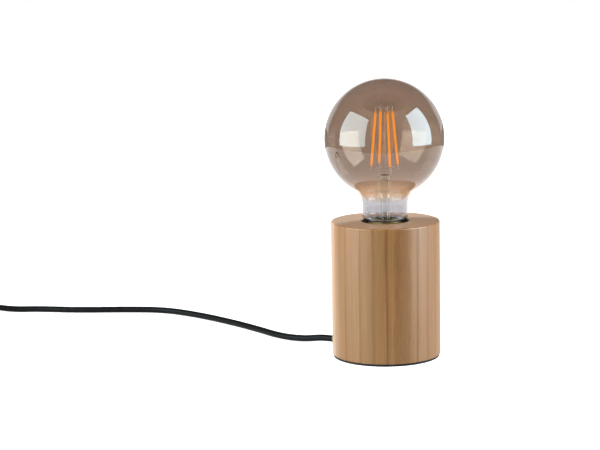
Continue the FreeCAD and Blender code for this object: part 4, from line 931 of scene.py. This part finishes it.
class LAMP_OT_studio(bpy.types.Operator):
    """Camera, softboxes, surroundings and the pale table top"""
    bl_idname = "lamp.studio"
    bl_label = "Studio"

    def execute(self, context):
        look = settings().studio
        self.camera(context)
        self.softbox("softbox_left", 204.7, 0.991, 0.531, 1.108, 1.109, look.left,
                     look.left_face, (1.0, 0.97, 0.94))
        self.softbox("softbox_right", -12.7, 0.999, 0.552, 0.837, 1.196, look.right,
                     look.right_face, (0.97, 0.98, 1.0))
        self.surroundings(context, look)
        self.table_top(look)
        return {"FINISHED"}

    def camera(self, context):
        yaw, pitch, roll = (math.radians(a) for a in CAMERA_TURNS)
        forward = Vector((-math.sin(yaw) * math.cos(pitch), math.cos(yaw) * math.cos(pitch),
                          -math.sin(pitch)))
        side = Vector((math.cos(yaw), math.sin(yaw), 0.0))
        up = side.cross(forward)
        right = side * math.cos(roll) + up * math.sin(roll)
        top = up * math.cos(roll) - side * math.sin(roll)
        lens = bpy.data.cameras.new("camera")
        lens.lens, lens.sensor_width, lens.sensor_fit = LENS, 36.0, "HORIZONTAL"
        lens.clip_start = 0.05
        camera = new_piece("camera", lens)
        place = Matrix((right, top, -forward)).transposed().to_4x4()
        place.translation = CAMERA_PLACE
        camera.matrix_world = place
        context.scene.camera = camera

    def softbox(self, name, azimuth, distance, height, width, tall, given, face, tint):
        """A softbox: what lights the lamp, and the face that shows in its glass."""
        turn = math.radians(azimuth)
        out, rise = Vector((math.cos(turn), math.sin(turn), 0.0)), Vector((0.0, 0.0, height))
        for part, shade, behind in (("light", [given * c for c in tint], 0.03),
                                    ("face", face, 0.0)):
            light = bpy.data.lights.new(name + "_" + part, "AREA")
            light.shape, light.size, light.size_y = "RECTANGLE", width, tall
            light.energy = math.pi * width * tall * max(shade)
            light.color = [c / max(shade) for c in shade]
            lamp = new_piece(name + "_" + part, light)
            lamp.visible_camera = lamp.visible_transmission = False
            lamp.visible_diffuse = part == "light"
            lamp.visible_glossy = part == "face"
            lamp.location = out * (distance + behind) + rise
            lamp.rotation_euler = out.to_track_quat("Z", "Y").to_euler()
        # The face once more, for rays that leave the glass after a mirroring inside it.
        mesh = bpy.data.meshes.new(name + "_inner")
        side, half = Vector((-out.y, out.x, 0.0)) * width / 2, Vector((0.0, 0.0, tall / 2))
        middle = out * distance + rise
        mesh.from_pydata([middle - side - half, middle + side - half, middle + side + half,
                          middle - side + half], [], [(3, 2, 1, 0)])
        plane = new_piece(name + "_inner", mesh)
        plane.visible_camera = plane.visible_diffuse = plane.visible_glossy = False
        plane.visible_shadow = False
        material, t = new_finish(name + "_inner_face")
        mirrored = t.math("GREATER_THAN", t.path("Glossy Depth"), 0.5)
        t.add("ShaderNodeOutputMaterial", {"Surface": t.mix(mirrored, t.clear(WHITE),
                                                            t.glow(face))})
        material.cycles.emission_sampling = "NONE"
        mesh.materials.append(material)

    def surroundings(self, context, look):
        world = bpy.data.worlds.new("studio_surroundings")
        context.scene.world = world
        world.use_nodes = True
        t = Tree(world.node_tree)
        t.tree.nodes.clear()
        way = t.add("ShaderNodeTexCoord").outputs["Generated"]
        x, y, z = t.split(way)
        # A white backdrop stands behind the table; the room above and in front is dim.
        sideways = t.over(t.math("ABSOLUTE", x), t.math("MAXIMUM", y, 0.01))
        behind = t.times(t.spread(sideways, 0.95, 0.80), t.spread(z, 0.34, 0.22))
        room = t.blend(behind, DIM_ROOM, WHITE)
        seen = t.math("MAXIMUM", t.path("Is Camera Ray"), t.path("Is Transmission Ray"))
        above = t.spread(z, 0.1, 0.9, 1.0, 9.0)
        even = t.scaled((look.ambient,) * 3, above)
        shade = t.blend(t.path("Is Glossy Ray"), even, room)
        shade = t.blend(seen, shade, WHITE)
        lit = t.add("ShaderNodeBackground", {"Color": shade, "Strength": 1.0})
        t.add("ShaderNodeOutputWorld", {0: lit.outputs[0]})

    def table_top(self, look):
        mesh = bpy.data.meshes.new("table_top")
        shape = bmesh.new()
        bmesh.ops.create_grid(shape, x_segments=24, y_segments=24, size=5.0)
        shape.to_mesh(mesh)
        shape.free()
        floor = new_piece("table_top", mesh)
        material, t = new_finish("pale_table")
        spot = t.spot(scale=1.0)
        cloud = t.noise(spot, 1.5, 3.0)
        base = t.blend(cloud, (0.84, 0.84, 0.84), (0.86, 0.86, 0.86))
        # The camera sees a white top that still takes the lamp's shadow. Other rays meet a
        # plain white, and the light that it throws back up stays low.
        seen, glossy = t.path("Is Camera Ray"), t.path("Is Glossy Ray")
        passed = t.path("Is Transmission Ray")
        matt = t.add("ShaderNodeBsdfDiffuse", {"Color": t.blend(seen, (0.3, 0.3, 0.3), base)})
        far = t.spread(t.vector("LENGTH", spot), 0.35, 0.9, look.white, 1.0)
        top = t.add("ShaderNodeAddShader", {0: matt.outputs[0],
                                            1: t.glow(WHITE, t.times(far, seen))})
        through = t.times(passed, t.math("LESS_THAN", t.path("Glossy Depth"), 0.5))
        plain = t.glow(WHITE, t.spread(through, 0.0, 1.0, 1.3, 1.0))
        shown = t.mix(t.math("MAXIMUM", glossy, passed), top.outputs[0], plain)
        # The white top is round; in reflections the dim room shows beyond its edge.
        reach = t.vector("LENGTH", t.vector("SUBTRACT", spot, (0.0, 0.287, 0.0)))
        beyond = t.times(t.spread(reach, 0.750, 0.760), t.times(glossy, t.less(1.0, passed)))
        whole = t.mix(beyond, shown, t.glow(DIM_ROOM))
        t.add("ShaderNodeOutputMaterial", {"Surface": whole})
        mesh.materials.append(material)


class LAMP_OT_cord(bpy.types.Operator):
    """Round black cord: base to switch, and switch through the coil to the plug"""
    bl_idname = "lamp.cord"
    bl_label = "Cord"

    def execute(self, context):
        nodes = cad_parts
        switch = [nodes["switch_" + n] for n in ("base", "cover", "rocker", "contact_in",
                                                 "contact_out")]
        switch.append(bpy.data.objects["switch_screw_set"])
        smooth_cord("cord_base_to_switch", TO_SWITCH, ["cord_to_switch"])
        smooth_cord("cord_switch_to_plug", FROM_SWITCH + coil_turns() + TO_PLUG,
                    ["cord_from_switch", "cord_coil", "cord_to_plug"])
        self.inner_ends()
        return {"FINISHED"}

    def inner_ends(self):
        """The cord inside the base, and its two cores up to the terminals."""
        turn, up = math.radians(148), Vector((0.0, 0.0, 1.0))
        way = Vector((math.cos(turn), math.sin(turn), 0.0))
        bend, level, top = 14.0, 7.0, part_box("inner_flex")[1].z / MM
        spots = [way * d + up * level for d in (50.9, 44.0, 36.0, 28.0, 20.0, bend)]
        spots += [way * bend * (1 - math.sin(a)) + up * (level + bend * (1 - math.cos(a)))
                  for a in np.radians((15, 30, 45, 60, 75))]
        spots += [up * h for h in (level + bend, 28.0, 37.0, 46.0, top)]
        grown("flex_in_base", outline_mesh("flex_path", [p * MM for p in spots]), round_wire(),
              {"Radius": CORD_DIAMETER / 2, "Sides": 24, "Step": 1.2 * MM,
               "Finish": kept("cord_sheath_black", sheath_finish)},
              "lamp", ["inner_flex"])
        for name, side, shade in (("core_live", -1.0, (0.16, 0.055, 0.022)),
                                  ("core_neutral", 1.0, (0.012, 0.09, 0.42))):
            low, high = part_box(name)
            near, far, rise = side * 1.25 * MM, side * 8.4 * MM, 64.1 * MM - low.z
            spots = [(near + (far - near) * share, 0, low.z + height * rise)
                     for share, height in ((0, 0), (0, 0.18), (0.14, 0.36), (0.5, 0.5),
                                           (0.86, 0.64), (1, 0.84))] + [(far, 0, high.z)]
            grown(name + "_wire", outline_mesh(name + "_path", spots), round_wire(),
                  {"Radius": 1.1 * MM, "Sides": 16, "Step": 0.5 * MM,
                   "Finish": core_finish(name + "_coat", shade)},
                  "lamp", [name])


class LAMP_OT_base(bpy.types.Operator):
    """Turned wood body with its pad, cover, cord entry and clamp"""
    bl_idname = "lamp.base"
    bl_label = "Wood Base"

    def execute(self, context):
        look = settings().finish
        dress(wood_finish(), "wood_body")
        dress(black_finish("foam_pad", (0.004, 0.004, 0.004), 0.5, 0.12, 0.9), "base_pad",
              "clamp_pad")
        dress(black_finish("nylon_black", look.black, 0.3, 0.02, 0.42), "cord_bushing")
        dress(plated("zinc"), "cover_plate", "clamp_saddle", "nipple_washer", "nipple_nut")
        screw_set("cover_screw_set", upright_spots("cover_screws", False, 0.4), "cover_screws",
                  2.6, 1.5, 1.1, 1.5, 11.5, 3.0, 0.6, 1.0)
        screw_set("clamp_screw_set", upright_spots("clamp_screws", True, 0.7), "clamp_screws",
                  2.2, 2.2, 1.5, 1.3, 4.0, 2.6, 0.5, 1.0)
        low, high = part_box("threaded_nipple")
        outer, bore = high.x, 3.7 * MM
        spots = [(outer, low.z)] + straight((outer, low.z), (outer, high.z), 150)
        spots += [(bore, high.z)] + straight((bore, high.z), (bore, low.z), 2) + [spots[0]]
        turned("nipple_thread", spots, 64, plated("zinc"), "lamp", "zinc_steel", "threaded_nipple")
        return {"FINISHED"}


class LAMP_OT_holder(bpy.types.Operator):
    """Black lampholder with its threaded shell, contacts and terminals"""
    bl_idname = "lamp.holder"
    bl_label = "Lampholder"

    def execute(self, context):
        look = settings()
        dress(black_finish("holder_black", look.finish.black, 0.45, 0.03, 0.40, 0.15),
              "holder_skirt", "holder_dome")
        dress(chalky_finish("steatite", (0.74, 0.70, 0.60), (0.55, 0.50, 0.40), 0.55),
              "contact_insert")
        dress(plated("brass"), "centre_contact", "side_contact", "terminal_live",
              "terminal_neutral")
        self.shell(look.thread)
        self.terminal_screws()
        return {"FINISHED"}

    def shell(self, thread):
        low, high = SHELL_LOW, SHELL_HIGH
        outer, wall, eye = high.x, 0.5 * MM, 9.4 * MM
        spots = [(eye, low.z), (outer, low.z)]
        spots += straight((outer, low.z), (outer, high.z), 110) + [(outer - wall, high.z)]
        spots += straight((outer - wall, high.z), (outer - wall, low.z + wall), 110)
        spots += [(eye, low.z + wall), (eye, low.z)]
        turned("threaded_shell", spots, 120, plated("brass"), "lamp", "brass", "screw_shell",
               pitch=thread.pitch, depth=thread.depth * 0.95, thread_low=low.z + 0.9 * MM,
               thread_high=100.6 * MM, fade=1.6 * MM)

    def terminal_screws(self):
        spots = []
        for low, high in islands("terminal_screws"):
            way = 1.0 if high.x > 0 else -1.0
            place = (high.x if way > 0 else low.x, (low.y + high.y) / 2, (low.z + high.z) / 2)
            spots.append((place, (0.5, way * math.pi / 2, 0.0)))
        screw_set("terminal_screw_set", spots, "terminal_screws",
                  1.25, 1.25, 1.2, 1.2, 3.4, 2.7, 0.45, 0.0)


class LAMP_OT_bulb(bpy.types.Operator):
    """Globe of smoked glass with its stem, lit filaments and wires"""
    bl_idname = "lamp.bulb"
    bl_label = "Bulb"

    def execute(self, context):
        look = settings()
        self.globe(look.glass)
        self.sticks()
        clear = stem_finish()
        dress(clear, "centre_rod")
        self.stem(clear)
        dress(plated("nickel"), "support_wires", "filament_tabs", "lead_wires", "lead_in_wires")
        return {"FINISHED"}

    def wall_line(self, look, inset):
        """Outline of one face of the glass, from the seal up to the pole."""
        centre = GLASS_TOP - GLOBE_RADIUS - look.sink
        big, neck, throat = GLOBE_RADIUS - inset, look.neck - inset, look.throat + inset
        reach, span = look.neck + look.throat, GLOBE_RADIUS + look.throat
        fall = math.sqrt(span * span - reach * reach)
        seal_z = CAP_RIM + 0.4 * MM
        shoulder = look.shoulder - inset
        middle = look.neck - look.shoulder
        meet = math.degrees(math.atan2(fall, reach))
        spots = [(look.seal - inset, seal_z - 8.0 * MM)]
        spots += straight(spots[0], (look.seal - inset, seal_z + inset), 3)
        spots += arc(middle, seal_z + look.shoulder, shoulder, -90, 0, 14)
        spots += straight((neck, seal_z + look.shoulder), (neck, centre - fall), 6)
        spots += arc(reach, centre - fall, throat, 180, 180 - meet, 18)[1:]
        spots += arc(0.0, centre, big, -meet, 90, 76)[1:]
        spots[-1] = (0.0, centre + big)
        return spots

    def globe(self, look):
        outer, inner = self.wall_line(look, 0.0), self.wall_line(look, look.wall)
        spots = outer + inner[::-1] + [outer[0]]
        turned("globe_glass", spots, 160, globe_finish(), "bulb", "tinted_glass",
               "glass_envelope", 60.0)

    def stem(self, clear):
        """The stem: a tube with a flared foot, pinched flat over the lead-in wires."""
        tube, bore, foot = 5.2 * MM, 4.3 * MM, 10.9 * MM
        low, high = CAP_RIM - 7.6 * MM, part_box("stem_glass")[1].z
        top, knee, wall = high - 8.4 * MM, WOOD_TOP - 1.6 * MM, 0.9 * MM
        flare = [(foot + (tube - foot) * math.sin(a), low + (knee - low) * (1 - math.cos(a)))
                 for a in np.linspace(0, math.pi / 2, 10)]
        outer = [(foot, low - wall)] + flare + straight((tube, knee), (tube, top), 8)
        outer += straight((tube, top), (tube, high - 0.6 * MM), 10)
        outer += arc(tube - 0.6 * MM, high - 0.6 * MM, 0.6 * MM, 0, 90, 4)[1:] + [(0.0, high)]
        inner = [(0.0, top - wall), (bore, top - wall)]
        inner += straight((bore, top - wall), (bore, knee), 4)
        inner += [(x - wall, z) for x, z in flare[-2::-1]] + [(foot - wall, low - wall)]
        spots = outer + inner + [outer[0]]
        turned("stem", spots, 64, clear, "bulb", "clear_glass", "stem_glass", pinch_low=top,
               pinch_high=top + 4.6 * MM, pinch_width=1.096, pinch_depth=0.442)

    def sticks(self):
        low, high, top, bottom = 11.4 * MM, 7.2 * MM, 87.6 * MM, 43.8 * MM
        lean = math.atan2(low - high, top - bottom)
        spots = []
        for k in range(4):
            angle = math.radians(22.0 + 90.0 * k)
            place = (low * math.cos(angle), low * math.sin(angle), WOOD_TOP + bottom)
            spots.append((place, (0.0, -lean, angle)))
        grown("filament_sticks", spots_mesh("filament_spots", spots), glowing_sticks(), {
            "Radius": 0.95 * MM, "Length": math.hypot(top - bottom, low - high),
            "Bead": 1.35 * MM, "Finish": glow_finish()},
            "bulb", ["filament_%d" % k for k in (1, 2, 3, 4)])


class LAMP_OT_cap(bpy.types.Operator):
    """Screw cap with its rolled thread, cement, insulator, tip and small circuit board"""
    bl_idname = "lamp.cap"
    bl_label = "Screw Cap"

    def execute(self, context):
        look = settings().thread
        outer, wall = CAP_HIGH.x, 0.5 * MM
        bottom, rim, cone = 88.0 * MM, CAP_RIM, CAP_LOW.z
        small = 10.0 * MM
        spots = [(small, cone)] + straight((small, cone), (outer, bottom), 8)
        spots += straight((outer, bottom), (outer, rim), 100)
        spots += [(outer - wall, rim)]
        spots += straight((outer - wall, rim), (outer - wall, bottom + wall / 2), 100)
        spots += straight((outer - wall, bottom + wall / 2), (small - wall, cone + wall / 2), 8)
        spots += [(small - wall, cone), spots[0]]
        turned("threaded_cap", spots, 120, plated("brass"), "bulb", "brass", "screw_cap",
               pitch=look.pitch, depth=look.depth, thread_low=86.9 * MM,
               thread_high=101.2 * MM, fade=1.0 * MM)
        dress(chalky_finish("lamp_cement", (0.55, 0.42, 0.03), (0.30, 0.23, 0.015), 0.6),
              "cap_cement")
        dress(end_glass_finish(), "cap_insulator")
        dress(plated("brass"), "cap_contact")
        dress(board_finish(), "driver_board")
        return {"FINISHED"}


class LAMP_OT_switch(bpy.types.Operator):
    """In-line rocker switch on the cord"""
    bl_idname = "lamp.switch"
    bl_label = "Cord Switch"

    def execute(self, context):
        look = settings().finish
        dress(black_finish("switch_black", look.black, 0.4, 0.03, 0.38, 0.18), "switch_base",
              "switch_cover")
        dress(black_finish("rocker_black", look.black, 0.9, 0.01, 0.22, 0.1, 0.08), "switch_rocker")
        dress(plated("brass"), "switch_contact_in", "switch_contact_out")
        screw_set("switch_screw_set", upright_spots("switch_screws", False, 0.5),
                  "switch_screws", 2.4, 2.4, 0.8, 1.4, 9.8, 2.8, 0.6, 1.0)
        return {"FINISHED"}


class LAMP_OT_plug(bpy.types.Operator):
    """Flat two-pin plug at the cord's end"""
    bl_idname = "lamp.plug"
    bl_label = "Plug"

    def execute(self, context):
        look = settings().finish
        dress(black_finish("plug_black", look.black, 0.5, 0.04, 0.45, 0.18), "plug_body")
        dress(plated("nickel"), "plug_pin_left", "plug_pin_right")
        return {"FINISHED"}


class LAMP_PT_panel(bpy.types.Panel):
    """Lists the lamp's pieces and their settings"""
    bl_idname = "LAMP_PT_panel"
    bl_label = "Table Lamp"
    bl_space_type = "VIEW_3D"
    bl_region_type = "UI"
    bl_category = "Table Lamp"

    def draw(self, context):
        for piece in PIECES:
            self.layout.operator(piece.bl_idname)
        for part in ("wood", "glass", "glow", "thread", "finish", "studio"):
            box = self.layout.box()
            box.label(text=part.title())
            group = getattr(context.scene.table_lamp, part)
            for name in group.__annotations__:
                box.prop(group, name)


PIECES = (LAMP_OT_studio, LAMP_OT_base, LAMP_OT_holder, LAMP_OT_bulb, LAMP_OT_cap,
          LAMP_OT_switch, LAMP_OT_plug, LAMP_OT_cord)
GROUPS = (WoodSettings, GlassSettings, GlowSettings, ThreadSettings, FinishSettings,
          StudioSettings, LampSettings)


def register():
    for thing in GROUPS + PIECES + (LAMP_PT_panel,):
        bpy.utils.register_class(thing)
    bpy.types.Scene.table_lamp = PointerProperty(type=LampSettings, name="Table Lamp",
                                                 description="Settings of the table lamp")


def unregister():
    del bpy.types.Scene.table_lamp
    for thing in reversed(GROUPS + PIECES + (LAMP_PT_panel,)):
        bpy.utils.unregister_class(thing)


def main():
    register()
    bpy.context.scene.view_settings.view_transform = "Standard"
    for piece in PIECES:
        area, name = piece.bl_idname.split(".")
        if getattr(getattr(bpy.ops, area), name)() != {"FINISHED"}:
            raise RuntimeError(piece.bl_label + " wasn't finished")


if __name__ == "__main__":
    main()
